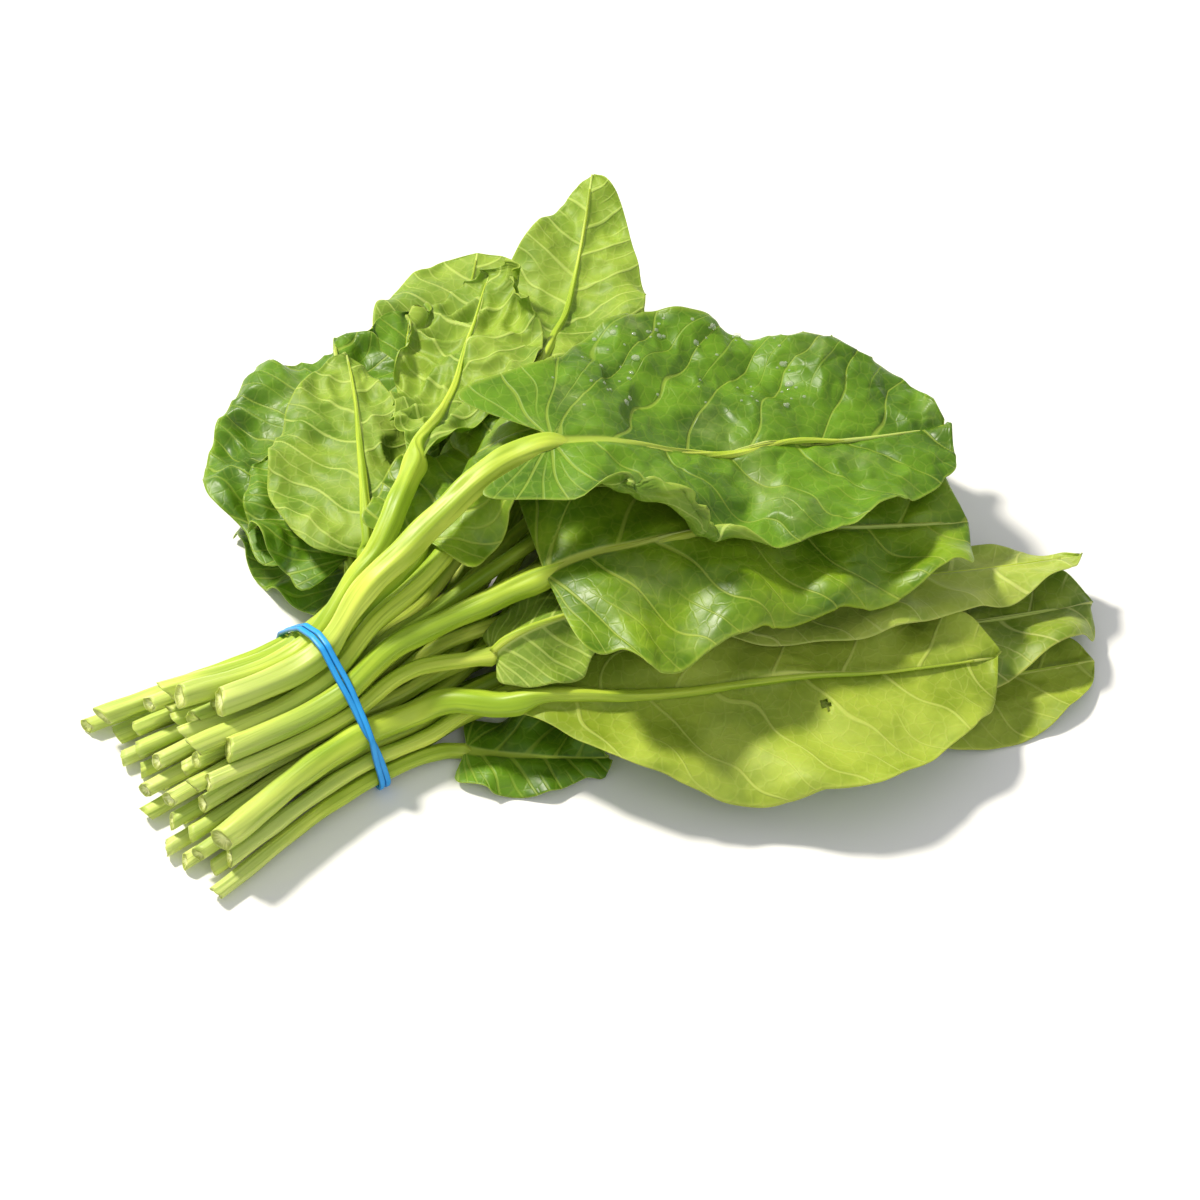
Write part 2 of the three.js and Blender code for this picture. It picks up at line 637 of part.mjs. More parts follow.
function piece(name, geometry, color, roughness) {
  const material = new THREE.MeshStandardMaterial({ color, roughness, metalness: 0 });
  const mesh = new THREE.Mesh(geometry, material);
  mesh.name = name;
  return mesh;
}

const layers = LAYERS.map((row, level) => row.map((leaf) => ({ ...DEFAULTS, ...leaf, level })));
const leaves = layers.flat();
packStems(layers);
leaves.forEach(routeStem);
fanOut(leaves);

const bunch = new THREE.Group();
leaves.forEach((leaf, order) => {
  layOut(leaf, order);
  settle(leaf);
  addToPile(leaf);
  const { points, faces } = skin(leaf);
  const color = leaf.underside ? PALETTE.underside : PALETTE.upper;
  bunch.add(piece(leaf.name, solid(points.map(settledPoint), faces), color, 0.45));
});
bunch.add(piece('rubber_band', bandGeometry(leaves), PALETTE.rubber, 0.5));

const box = new THREE.Box3().setFromObject(bunch);
const centre = box.getCenter(new THREE.Vector3());
bunch.position.set(-centre.x, -centre.y, -box.min.z);

export default bunch;
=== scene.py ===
# %% [markdown]
# # A bunch of spinach
# The real object is about forty young spinach leaves with their stalks, laid side by side and held by
# one rubber band. Nothing in it is flat: each blade is a thin sheet that veins, blisters and curls.
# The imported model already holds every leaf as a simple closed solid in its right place. This script
# reads each solid's rings back, lays a fine sheet over them, and gives it veins, quilting and a stalk.

# %% Load the fixed frame
import json
import math

import bpy
import numpy as np
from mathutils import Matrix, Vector


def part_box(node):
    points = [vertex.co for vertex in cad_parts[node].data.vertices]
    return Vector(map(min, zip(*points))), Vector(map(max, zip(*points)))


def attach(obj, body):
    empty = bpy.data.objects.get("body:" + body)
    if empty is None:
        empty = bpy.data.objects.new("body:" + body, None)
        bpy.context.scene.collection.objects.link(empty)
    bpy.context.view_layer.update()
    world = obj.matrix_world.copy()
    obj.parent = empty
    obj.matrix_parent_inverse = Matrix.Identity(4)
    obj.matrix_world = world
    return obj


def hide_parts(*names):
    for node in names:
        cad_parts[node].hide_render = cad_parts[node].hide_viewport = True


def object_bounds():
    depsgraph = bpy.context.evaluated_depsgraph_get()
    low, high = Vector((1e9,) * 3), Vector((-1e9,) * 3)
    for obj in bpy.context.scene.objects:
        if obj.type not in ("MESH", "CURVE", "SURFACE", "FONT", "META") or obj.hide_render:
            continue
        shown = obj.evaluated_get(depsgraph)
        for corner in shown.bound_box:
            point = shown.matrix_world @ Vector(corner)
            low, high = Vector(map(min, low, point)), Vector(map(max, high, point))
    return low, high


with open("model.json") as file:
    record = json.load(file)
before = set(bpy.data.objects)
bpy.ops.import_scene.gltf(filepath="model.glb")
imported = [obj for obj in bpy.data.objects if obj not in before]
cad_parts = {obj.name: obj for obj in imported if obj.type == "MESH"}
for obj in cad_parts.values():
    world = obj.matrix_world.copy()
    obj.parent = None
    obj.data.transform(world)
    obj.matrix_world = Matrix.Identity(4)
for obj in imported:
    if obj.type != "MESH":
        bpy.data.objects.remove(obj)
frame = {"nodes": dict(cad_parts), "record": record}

CAD_BOX = [list(corner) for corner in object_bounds()]
MM = 0.001
LEAVES = [part["node"] for part in frame["record"]["subparts"] if part["node"] != "rubber_band"]
SLOT = {part["node"]: part["material_slot"] for part in frame["record"]["subparts"]}
print(len(LEAVES), "leaves from the lowest to the highest, CAD box", CAD_BOX)

# %% [markdown]
# ## Reading a leaf's rings back
# Every leaf solid is a skin over closed rings of points: eight round the stalk, the rest round the
# blade, with one point closing each end. A point's ring number is how many edges it lies from the cut
# end, and each side triangle says which point comes next in its ring. The squares between two rings are
# split along the same diagonal above and below, so all points have more than one edge to the next ring,
# except those on the right margin. So the rings can be read from the triangles alone.

# %% The welded mesh of a node
def welded(name):
    """A node's points in millimetres, with those at the same place made one, and its triangles."""
    mesh = frame["nodes"][name].data
    flat = np.empty(len(mesh.vertices) * 3, np.float32)
    mesh.vertices.foreach_get("co", flat)
    corners = np.empty(len(mesh.loops), np.int32)
    mesh.loops.foreach_get("vertex_index", corners)
    places = np.round(flat.reshape(-1, 3).astype(float) / MM, 3)
    points, index = np.unique(places, axis=0, return_inverse=True)
    return points, index.reshape(-1)[corners].reshape(-1, 3)


# %% The rings of a leaf
STALK_RINGS = 8


def rings_of(name):
    """The rings as an array (ring, place round the ring, xyz) and the tip point. A ring starts at the
    left margin, crosses the upper face to the right margin and comes back underneath."""
    points, triangles = welded(name)
    uses = np.bincount(triangles.ravel(), minlength=len(points))
    hubs = np.argsort(uses)[-2:]
    cut_centre = hubs[np.argmin(points[hubs, 0])]
    around = int(uses[cut_centre])
    edges = np.vstack([triangles[:, [0, 1]], triangles[:, [1, 2]], triangles[:, [2, 0]]])
    level = np.full(len(points), -1)
    level[cut_centre] = 0
    for step in range(40):
        reached = edges[level[edges[:, 0]] == step, 1]
        level[reached[level[reached] < 0]] = step + 1
    turned = np.vstack([np.roll(triangles, -shift, axis=1) for shift in range(3)])
    steps = level[turned]
    wall = turned[(steps[:, 0] > 0) & (steps[:, 0] == steps[:, 1]) & (steps[:, 2] == steps[:, 0] + 1)]
    following, ahead = np.zeros(len(points), int), np.zeros(len(points), int)
    following[wall[:, 0]] = wall[:, 1]
    rising = np.unique(edges[level[edges[:, 1]] == level[edges[:, 0]] + 1], axis=0)
    ahead[rising[:, 0]] = rising[:, 1]
    alone = np.bincount(rising[:, 0], minlength=len(points)) == 1
    margin = [np.flatnonzero((level == 1) & alone)[0]]
    for _ in range(level.max() - 2):
        margin.append(ahead[margin[-1]])
    places = [np.array(margin)]
    for _ in range(around - 1):
        places.append(following[places[-1]])
    rings = np.roll(points[np.stack(places, axis=1)], around // 2, axis=1)
    return rings, points[level.argmax()]


RINGS = {name: rings_of(name) for name in LEAVES}
print("rings and points round them:", sorted({RINGS[name][0].shape[:2] for name in LEAVES}))

# %% [markdown]
# ## Smooth curves through few points
# The rings are 10 to 20 mm apart, far too coarse for a leaf's surface. A curve that passes through each
# of them with an even slope gives any number of points in between, along the leaf and across it.

# %% The smooth curve
def smooth(rows, knots, at):
    """Points of the curve through rows, one row at each knot: between two rows it is the cubic whose
    slopes at its ends are those np.gradient measures there."""
    slopes = np.gradient(rows, knots, axis=0)
    k = np.clip(np.searchsorted(knots, at, side="right") - 1, 0, len(knots) - 2)
    gap = knots[k + 1] - knots[k]
    t = (at - knots[k]) / gap
    spread = (-1,) + (1,) * (rows.ndim - 1)
    gap, t = gap.reshape(spread), t.reshape(spread)
    ahead = t * t * (3 - 2 * t)
    return (
        (1 - ahead) * rows[k]
        + ahead * rows[k + 1]
        + gap * t * (1 - t) * ((1 - t) * slopes[k] - t * slopes[k + 1])
    )


def unit(vectors):
    """Each vector divided by its length."""
    return vectors / np.maximum(np.linalg.norm(vectors, axis=-1, keepdims=True), 1e-9)


def run_of(line):
    """How far along a line each of its points lies, from 0 at the first."""
    return np.concatenate([[0], np.linalg.norm(np.diff(line, axis=0), axis=1).cumsum()])


def ease(values, low, high):
    """0 below low, 1 above high, with a soft turn at both ends."""
    t = np.clip((values - low) / (high - low), 0, 1)
    return t * t * (3 - 2 * t)


def ripple(x, y, size, seed):
    """Gentle uneven hills about size across and 1 high: the sum of eight sine waves in seeded
    directions, divided by the root of four."""
    dice = np.random.default_rng(seed)
    turn, shift = dice.uniform(0, 2 * math.pi, (2, 8))
    pace = dice.uniform(0.6, 1.4, 8) * 2 * math.pi / size
    waves = [
        np.sin(pace[i] * (x * math.cos(turn[i]) + y * math.sin(turn[i])) + shift[i]) for i in range(8)
    ]
    return np.sum(waves, axis=0) / 2


# %% [markdown]
# ## Taut stalks
# A fresh stalk is springy: it doesn't hang in the air and then turn up sharply to its blade. So the
# stalks on top of the bundle are drawn taut: each is raised to the highest straight line that spans
# two of its rings, which changes a double bend into one long arch.

# %% Taut stalks
TAUT = LEAVES[-14:]


def taut(rings):
    """The rings with the stalk's ones raised onto the hull over them, seen from the side."""
    middle = rings[:STALK_RINGS].mean(1)
    run = run_of(middle)
    first, last = np.triu_indices(STALK_RINGS, 1)
    share = (run[:, None] - run[first]) / (run[last] - run[first])
    chord = middle[first, 2] + share * (middle[last, 2] - middle[first, 2])
    spans = (share >= 0) & (share <= 1)
    raised = np.where(spans, chord, -1e3).max(1)
    raised[:2] = middle[:2, 2]
    moved = rings.copy()
    moved[:STALK_RINGS, :, 2] += (raised - middle[:, 2])[:, None]
    return moved


for place, name in enumerate(TAUT):
    rings = taut(RINGS[name][0])
    rings[0] += np.array([0.0, 3.2 * math.sin(place * 2.4), 1.2 + 2.4 * math.sin(place * 1.7) ** 2])
    RINGS[name] = (rings, RINGS[name][1])
print(len(TAUT), "stalks drawn taut")

# %% [markdown]
# ## The blade
# A spinach blade is a sheet about half a millimetre thick with a midrib down its middle. The blade
# solid is plain on one side and carries the midrib on the other, so the middle of the sheet is taken
# half a thickness in from the plain side. Two more rows finish the net: a narrow one where the blade
# starts on the stalk, and one at the tip.

# %% The net of a blade
PLAIN_THICKNESS = 1.2


def net_of(name):
    """The middle of the blade's sheet as an array (ring, column from left to right, xyz), with the
    distance of each ring along the midrib."""
    rings, tip = RINGS[name]
    half = rings.shape[1] // 2
    middle = half // 2
    blade = rings[STALK_RINGS:]
    upper = blade[:, : half + 1]
    lower = np.concatenate([blade[:, :1], blade[:, : half - 1 : -1]], axis=1)
    net = (upper + lower) / 2
    through = unit(upper[:, middle] - lower[:, middle]) * PLAIN_THICKNESS / 2
    pale_side_up = SLOT[name] == "leaf_underside"
    net[:, middle] = lower[:, middle] + through if pale_side_up else upper[:, middle] - through
    root = rings[STALK_RINGS - 1]
    centre = root.mean(0)
    rise = (root[middle] - root[-middle]) * (-0.25 if pale_side_up else 0.25)
    reach = (root[half] - root[0]) * 0.3
    start = centre + rise + np.linspace(-1, 1, half + 1)[:, None] * reach
    net = np.concatenate([start[None], net, np.repeat(tip[None, None], half + 1, axis=1)])
    return net, run_of(net[:, middle])


# %% The fine sheet
def fine_sheet(name, step):
    """The blade's middle as a fine grid, about step millimetres between points where it is widest."""
    net, knots = net_of(name)
    widest = np.linalg.norm(np.diff(net, axis=1), axis=2).sum(1).max()
    across = 2 * int(np.ceil(widest / step / 2)) + 1
    rows = int(np.ceil(knots[-1] / step)) + 1
    columns = np.linspace(-1, 1, net.shape[1])
    wide = smooth(net.transpose(1, 0, 2), columns, np.linspace(-1, 1, across)).transpose(1, 0, 2)
    end = knots[-2] + 0.93 * (knots[-1] - knots[-2])
    return smooth(wide, knots, np.linspace(0, end, rows))


def faces_up(grid):
    """The sheet's direction at each point: across times along, pointing up on a leaf that lies flat."""
    return unit(np.cross(np.gradient(grid, axis=1), np.gradient(grid, axis=0)))


def flat_place(grid):
    """Where each point would lie if the leaf were pressed flat: millimetres right of the midrib, and
    millimetres along it from the blade's start."""
    middle = grid.shape[1] // 2
    spine = grid[:, middle]
    run = run_of(spine)
    heading = unit(np.gradient(spine, axis=0))
    offset = grid - spine[:, None]
    forward = np.einsum("ijk,ik->ij", offset, heading)
    sideways = np.sqrt(np.maximum((offset**2).sum(2) - forward**2, 0))
    sign = np.sign(np.arange(grid.shape[1]) - middle)
    return sideways * sign, run[:, None] + forward


# %% [markdown]
# ## Veins and quilting
# Side veins leave the midrib at about 55 degrees and bend towards the tip. At the blade's base they
# spread like a fan instead, into the two lobes. One number says where a point lies among them: it is
# whole on a vein and goes up by one from each vein to the next. The sheet between the veins grows
# faster than the veins do, so it puffs up into cushions about 8 mm long, which is what makes savoy
# spinach look quilted. The cushions are geometry; the finest veins are left to the material.

# %% Where a point lies among the veins
SWEEP = 0.62  # millimetres a side vein goes forward for each one it goes outward
BEND = 0.006
FAN = 0.5  # radians between two veins of the fan at the base


def vein_number(right, along, length, pairs, seed):
    """The vein number, and how many millimetres one vein is from the next: the place on the midrib
    that the vein came from, in shares of the length, times the pairs; or the angle round the base."""
    out = np.abs(right) + 1e-6
    curve = BEND * out**2
    origin = along - SWEEP * out - curve
    angle = np.arctan2(out, along - curve)
    fan_start = math.atan2(1, SWEEP)
    count = np.where(origin > 0, pairs * np.abs(origin) / length, -(angle - fan_start) / FAN)
    gap = np.where(origin > 0, 0.85 * length / pairs, np.hypot(out, along) * FAN)
    count = count + 0.07 * ripple(right, along, 26, seed) + np.where(right > 0, 0.45, 0)
    return count, np.clip(gap, 2.0, 0.85 * length / pairs)


def cushions(right, along, count, seed, long=17.0):
    """Height of the quilting, 0 on the veins to 1 on a cushion: a sine arch between two veins times a
    row of softer arches along them, each strip of cushions shifted by its own share of a step."""
    strip = np.floor(count) + np.where(right > 0, 57.0, 0.0)
    shift = np.modf(np.abs(np.sin(strip * 12.9898 + seed)) * 4375.85)[0]
    between = np.abs(np.sin(math.pi * np.modf(count + 50)[0])) ** 0.75
    step = np.abs(right) * 1.15 / long + shift + 0.25 * ripple(right, along, 18, seed + 5)
    return between * (0.62 + 0.38 * np.abs(np.sin(math.pi * step)) ** 0.8)


# %% [markdown]
# ## What each leaf does
# Every leaf gets its own habit: how deep its quilting is, how far the sheet waves, how its margins
# ruffle, and where a margin rolls over. Hidden leaves inside the pile keep the plain habit.

# %% Leaf habits
# step is the grid's spacing and pairs the number of side veins on each side; quilt, wave, frill, crumple
# and ragged are heights, all in millimetres. A roll is (side, start, stop, inset, radius), a hole is
# (right, along, radius) and a point is (side, place, reach, width); side is -1 left or 1 right, and
# starts, stops and places are shares of the blade's length.
PLAIN = {
    "step": 1.25, "pairs": 5, "quilt": 0.5, "wave": 0.8, "frill": 0.8, "crumple": 0.0, "ragged": 0.25,
    "rolls": [], "holes": [], "points": [], "tone": None, "pale": "cool",
}
SHOWN_STEP, NEAR_STEP = 0.8, 0.62
# Each leaf's pairs, quilt, wave and frill, and what else is its own.
HABITS = {
    "top_broad_leaf": (6, 1.6, 1.5, 1.0, {
        "step": NEAR_STEP, "crumple": 0.35, "tone": "deep",
        "rolls": [(1, -0.02, 0.5, 11, 4.2), (-1, 0.45, 1.0, 6, -7.0)],
    }),
    "top_second_leaf": (6, 1.6, 2.0, 1.5, {"crumple": 0.4, "tone": "mid"}),
    "right_dark_leaf": (6, 1.1, 1.8, 1.4, {
        "tone": "mid", "rolls": [(1, 0.35, 0.95, 7, -8.0)], "points": [(1, 0.2, 13.0, 0.09)],
    }),
    "broad_pale_leaf": (6, 0.8, 1.4, 1.0, {
        "pale": "warm", "rolls": [(1, 0.15, 0.7, 6, -7.0)], "holes": [(10, 95, 1.6)],
    }),
    "right_pale_leaf": (6, 0.9, 1.4, 1.2, {"pale": "bright"}),
    "right_lobed_leaf": (6, 0.9, 1.8, 1.4, {"tone": "yellow"}),
    "far_right_leaf": (6, 0.8, 1.4, 1.0, {"pale": "warm", "holes": [(-8, 62, 2.2)]}),
    "rolled_leaf": (6, 0.6, 0.8, 0.8, {}),
    "centre_glossy_leaf": (5, 1.1, 1.2, 1.8, {"step": NEAR_STEP, "crumple": 0.5, "tone": "mid"}),
    "left_crinkled_leaf": (7, 1.6, 1.8, 1.8, {
        "step": NEAR_STEP, "crumple": 1.2, "rolls": [(1, 0.75, 1.0, 7, 4.0), (-1, 0.45, 0.95, 7, 4.5)],
    }),
    "left_pale_leaf": (6, 0.9, 1.3, 1.2, {"crumple": 0.4}),
    "left_dark_leaf": (6, 0.9, 1.8, 2.0, {"crumple": 0.6, "tone": "deep"}),
    "left_ruffled_leaf": (6, 0.9, 1.4, 2.2, {"crumple": 0.5, "tone": "deep"}),
    "low_left_leaf": (6, 0.8, 1.2, 1.8, {"tone": "deep"}),
    "low_right_leaf": (5, 0.8, 1.0, 1.6, {"tone": "deep"}),
    "back_yellow_leaf": (7, 0.7, 1.4, 1.8, {"tone": "olive"}),
    "back_curled_leaf": (7, 0.9, 1.5, 2.2, {"tone": "deep", "rolls": [(-1, 0.3, 1.0, 8, 6.0)]}),
    "back_upright_leaf": (8, 0.9, 1.6, 1.8, {"crumple": 0.4}),
    "back_dark_leaf": (7, 0.9, 1.6, 1.6, {"tone": "deep"}),
    "back_right_leaf": (7, 0.9, 1.6, 1.6, {"tone": "deep"}),
}


def habit(name):
    """A leaf's habit: the plain one, changed by its own entries; a leaf that shows gets a finer grid."""
    if name not in HABITS:
        return PLAIN
    *heights, own = HABITS[name]
    return {**PLAIN, "step": SHOWN_STEP, **dict(zip(("pairs", "quilt", "wave", "frill"), heights)), **own}


# %% The living sheet
def seed_of(name):
    """A fixed number for each leaf: its letters' codes added up, each times its place."""
    return sum((i + 1) * ord(letter) for i, letter in enumerate(name)) % 9973


def living_sheet(name):
    """The blade's fine grid with quilting, waves, crumples, a ruffled margin and rolled edges, with
    what the material needs to know at each point."""
    ways = habit(name)
    seed = seed_of(name)
    grid = fine_sheet(name, ways["step"])
    right, along = flat_place(grid)
    up = faces_up(grid)
    length = along[-1, along.shape[1] // 2]
    share = np.clip(along / length, 0, 1)
    edge = np.abs(np.linspace(-1, 1, grid.shape[1]))[None, :] * np.ones_like(right)
    half_width = np.maximum(np.abs(right[:, [0, -1]]).max(1, keepdims=True), 0.5)
    count, gap = vein_number(right, along, length, ways["pairs"], seed)
    puff = cushions(right, along, count, seed)
    rib_width = 0.35 + 1.5 * (1 - share) ** 1.3
    beside_rib = ease(np.abs(right), rib_width * 0.7, rib_width * 0.7 + 3.5)
    towards_margin = 1 - 0.55 * ease(edge, 0.7, 1.0)
    opening = ease(along, 0.0, 14.0)
    tip_fade = ease(length - along, 0.0, 10.0)
    adaxial = -1.0 if SLOT[name] == "leaf_underside" else 1.0
    quilt = ways["quilt"] * np.minimum(gap / 9, 1.15) * beside_rib * towards_margin * opening
    quilt = quilt * (0.5 + 0.8 * share + 0.3 * ripple(right, along, 45, seed + 1))
    height = adaxial * (quilt * puff - 0.55 * (1 - ease(np.abs(right), 0, rib_width * 1.6)) * tip_fade)
    free = ease(edge, 0.05, 0.9) * opening
    height = height + ways["wave"] * free * ripple(right, along, 34, seed + 2)
    sharp = 1 - 2 * np.abs(ripple(right, along, 17, seed + 3))
    height = height + ways["crumple"] * sharp * ease(edge, 0.05, 0.5) * opening
    frill = ripple(right * 0.5, along, 30, seed + 4)
    at_margin = ease(edge, 0.45, 1.0) ** 1.3
    height = height + ways["frill"] * frill * at_margin * ease(half_width, 4, 16) * opening
    bitten = ways["ragged"] * ripple(along, along * 0 + right[:, -1:], 16, seed + 6)
    nibble = bitten * ease(edge, 0.7, 1.0)
    outward = unit(np.gradient(grid, axis=1)) * np.sign(right)[..., None]
    grid = grid + up * height[..., None] + outward * (nibble * ease(half_width, 4, 14))[..., None]
    for side, place, reach, width in ways["points"]:
        out_there = ease(side * right / half_width, 0.15, 1.0)
        peak = np.exp(-np.abs((share - place) / width) ** 1.5) * out_there
        grid = grid + (outward - 0.5 * unit(np.gradient(grid, axis=0))) * (reach * peak)[..., None]
    for side, start, stop, inset, radius in ways["rolls"]:
        grid = rolled(grid, right, share, side, start, stop, inset, radius)
    facts = {
        "right": right, "along": along, "share": share, "edge": edge, "count": count, "gap": gap,
        # puff is the cushion height, which the material also uses to paint the cushion tops lighter, a
        # painted highlight.
        "puff": puff * np.clip(quilt, 0, 1.4), "rib_width": rib_width,
    }
    return grid, facts


def rolled(grid, right, share, side, start, stop, inset, radius):
    """Rolls one margin over: past a line that is inset from the margin, the sheet leaves its own plane
    along a circle of that radius, upwards, or downwards where the radius is negative."""
    up = faces_up(grid)
    reach = side * right[:, -1:] if side > 0 else side * right[:, :1]
    outward = unit(np.gradient(grid, axis=1)) * side
    width = (stop - start) / 2
    strength = 1 - ease(np.abs(share - (start + stop) / 2), width * 0.45, width)
    past = np.clip(side * right - (reach - inset * strength), 0, None) * ease(reach, 4, 14)
    turn = past / abs(radius)
    shift = outward * (np.sin(turn) * abs(radius) - past)[..., None]
    return grid + shift + up * (np.sign(radius) * (1 - np.cos(turn)) * abs(radius))[..., None]


# %% [markdown]
# ## The stalk and the midrib
# A spinach stalk is a juicy rod with a shallow channel on its upper side and fine ridges along it. It
# runs on into the blade as the midrib, which thins out towards the tip and stands out on the pale
# underside. Both are one surface: a section carried along a path, with the section's own up and side
# arrows smoothed along the path in the same way as its centre.

# %% The path and the section
RIDGES, FLATS = 7, 5
CHANNEL = 0.12  # how deep the channel is, in shares of the stalk's radius
CUT_LENGTHS, CUT_SHORTER = 7, 2.6  # the top stalks end at one of seven lengths, 2.6 mm apart
CUT_SLANT, SLANT_REACH = 0.4, 7  # rise of the cut in radii, and how many millimetres it is felt for


def stalk_frames(name, grid):
    """Centre, up arrow and side arrow of the section at each station, as (station, 3, xyz): the eight
    stalk rings, then places down the middle of the blade, sunk into the sheet's underside."""
    rings, _ = RINGS[name]
    half = rings.shape[1] // 2
    middle = half // 2
    ring = rings[:STALK_RINGS]
    up = (ring[:, middle] - ring[:, half + middle]) / 2
    side = (ring[:, half] - ring[:, 0]) / 2
    stem = np.stack([ring.mean(1), up, side], axis=1)
    radius = np.linalg.norm(up[-1])
    column = grid.shape[1] // 2
    share = np.array([0.05, 0.12, 0.22, 0.34, 0.47, 0.6, 0.73, 0.85, 0.95])
    index = np.round(share * (len(grid) - 1)).astype(int)
    slope = faces_up(grid)[index, column]
    across = unit(np.gradient(grid, axis=1)[index, column])
    thick = 0.35 + (radius - 0.9) * 0.72 * (1 - share) ** 1.5
    pale_side_up = SLOT[name] == "leaf_underside"
    sink = (thick * 0.42) if pale_side_up else -(thick * 0.92)
    centre = grid[index, column] + slope * sink[:, None]
    rib = np.stack([centre, slope * thick[:, None], across * thick[:, None]], axis=1)
    return np.concatenate([stem, rib])


def stalk_surface(name, grid, around, step):
    """The stalk as a grid (station, place round it, xyz) and its facts: the section is a rounded
    pentagon, radius cos(half corner) / cos(angle from the middle of a flat), with fine ridges and a
    channel on its upper side, cut aslant and slightly hollow at its foot, and closed at both ends."""
    frames = stalk_frames(name, grid)
    run = run_of(frames[:, 0])
    seed = seed_of(name)
    trim = (seed % CUT_LENGTHS) * CUT_SHORTER if name in TAUT else 0.0
    at = np.linspace(trim, run[-1], int(run[-1] / step) + 1)
    path = smooth(frames, run, at)
    turn = np.linspace(0, 2 * math.pi, around, endpoint=False)
    groove = np.exp(-((np.angle(np.exp(1j * turn)) / 0.5) ** 2))
    blade_part = ease(at, run[STALK_RINGS - 1] - 12, run[STALK_RINGS - 1] + 10)[:, None]
    corner = 2 * math.pi / FLATS
    flats = math.cos(corner / 2) / np.cos(np.mod(turn + seed, corner) - corner / 2)
    ridge = 0.03 * np.cos(RIDGES * turn + seed) + 0.8 * (flats - flats.mean())
    lumps = 0.04 * ripple(at[:, None] * np.ones(around), turn * 3 + at[:, None] * 0, 19, seed)
    shape = 0.925 + ridge + lumps - CHANNEL * groove * (1 - blade_part)
    points = (
        path[:, 0, None]
        + (np.cos(turn) * shape)[..., None] * path[:, 1, None]
        + (np.sin(turn) * shape)[..., None] * path[:, 2, None]
    )
    heading = unit(path[1, 0] - path[0, 0])
    slant = np.linalg.norm(path[0, 1]) * CUT_SLANT * np.cos(turn + seed * 1.7)
    felt = 1 - ease(at - trim, 0, SLANT_REACH)
    points = points + heading * (slant * felt[:, None])[..., None]
    rim = np.array([0.0, 0.35, 0.62, 0.84, 0.96])
    dish = np.array([0.9, 0.7, 0.3, 0.0, 0.1])
    torn = 0.35 * np.sin(turn * 3 + seed) * np.sin(rim * 5 + seed)[:, None]
    sunk = (dish[:, None] + torn)[..., None]
    cap = path[0, 0] + rim[:, None, None] * (points[0] - path[0, 0]) + heading * sunk
    last = path[-1, 0] + np.array([0.6, 0.0])[:, None, None] * (points[-1] - path[-1, 0])
    surface = np.concatenate([cap, points, last])
    place = np.concatenate([np.zeros(len(rim)), at, np.full(2, at[-1])])
    cut = np.concatenate([1.15 - rim * 0.6, np.zeros(len(at) + 2)])
    return surface, {"turn": turn, "place": place, "cut": cut, "blade_start": run[STALK_RINGS - 1]}


# %% [markdown]
# ## Lying on one another
# The plain solids already lie clear of each other, but the quilting and the waves are new. Leaves are
# finished from the lowest up. A height map of what is already there, one square per millimetre, lifts
# the next sheet wherever it would dip in, and the lift is spread out so that it reads as a soft swell.
# A stalk that passes over or under a sheet is kept clear in the same way.

# %% Height maps
CELL = 1.0
NOWHERE = 1e3  # a height that no point of the pile reaches
CORNER = np.array([CAD_BOX[0][0], CAD_BOX[0][1]]) / MM - 15
SIZE = np.ceil((np.array([CAD_BOX[1][0], CAD_BOX[1][1]]) / MM + 15 - CORNER) / CELL).astype(int)


def cells_of(points):
    """Row and column of the map square that each point is over."""
    place = np.floor((points[..., :2] - CORNER) / CELL).astype(int)
    return np.clip(place[..., 0], 0, SIZE[0] - 1), np.clip(place[..., 1], 0, SIZE[1] - 1)


def highest(points):
    """A map of the highest point over each square, spread to the squares beside it."""
    chart = np.full(SIZE, -NOWHERE)
    np.maximum.at(chart, cells_of(points), points[..., 2])
    padded = np.pad(chart, 1, constant_values=-NOWHERE)
    shifted = [padded[i : i + SIZE[0], j : j + SIZE[1]] for i in range(3) for j in range(3)]
    return np.maximum.reduce(shifted)


def softened(values, turns):
    """Values averaged with their neighbours on the grid, that many times over."""
    for _ in range(turns):
        padded = np.pad(values, 1, mode="edge")
        values = (
            padded[:-2, 1:-1] + padded[2:, 1:-1] + padded[1:-1, :-2] + padded[1:-1, 2:] + 2 * values
        ) / 6
    return values


def widened(values, turns):
    """Each value replaced by the largest of itself and its neighbours, that many times over."""
    for _ in range(turns):
        padded = np.pad(values, 1, mode="edge")
        values = np.maximum.reduce(
            [padded[:-2, 1:-1], padded[2:, 1:-1], padded[1:-1, :-2], padded[1:-1, 2:], values]
        )
    return values


MOST_LIFT, LEAST_HEIGHT = 14, 0.35


def laid_on(grid, below, over, under, room):
    """The sheet lifted by what it needs to lie room above the map below it, and then lowered where a
    stalk passes over it."""
    here = cells_of(grid)
    floor = np.maximum(below[here], 0.0)
    ceiling = np.full(grid.shape[:2], NOWHERE)
    for top, bottom in zip((chart[here] for chart in over), (chart[here] for chart in under)):
        there = top > -NOWHERE / 2
        passes_below = grid[..., 2] > (top + bottom) / 2
        floor = np.where(there & passes_below, np.maximum(floor, top), floor)
        ceiling = np.where(there & ~passes_below, np.minimum(ceiling, bottom), ceiling)
    need = np.clip(floor + room - grid[..., 2], 0, MOST_LIFT)
    lift = np.maximum(need, softened(widened(need, 3), 14))
    laid = grid + lift[..., None] * np.array([0, 0, 1.0])
    drop = np.clip(laid[..., 2] - (ceiling - room), 0, MOST_LIFT)
    drop = np.maximum(drop, softened(widened(drop, 2), 6) * (drop.max() > 0))
    laid[..., 2] = np.maximum(laid[..., 2] - drop, LEAST_HEIGHT)
    return laid


# %% [markdown]
# ## From grids to meshes
# A blade's grid becomes a closed sheet: the same grid once on each side, half a thickness out, and a
# narrow wall wherever a kept square has no kept neighbour, so that the margins and any holes are
# closed. A stalk's grid is a closed tube already.

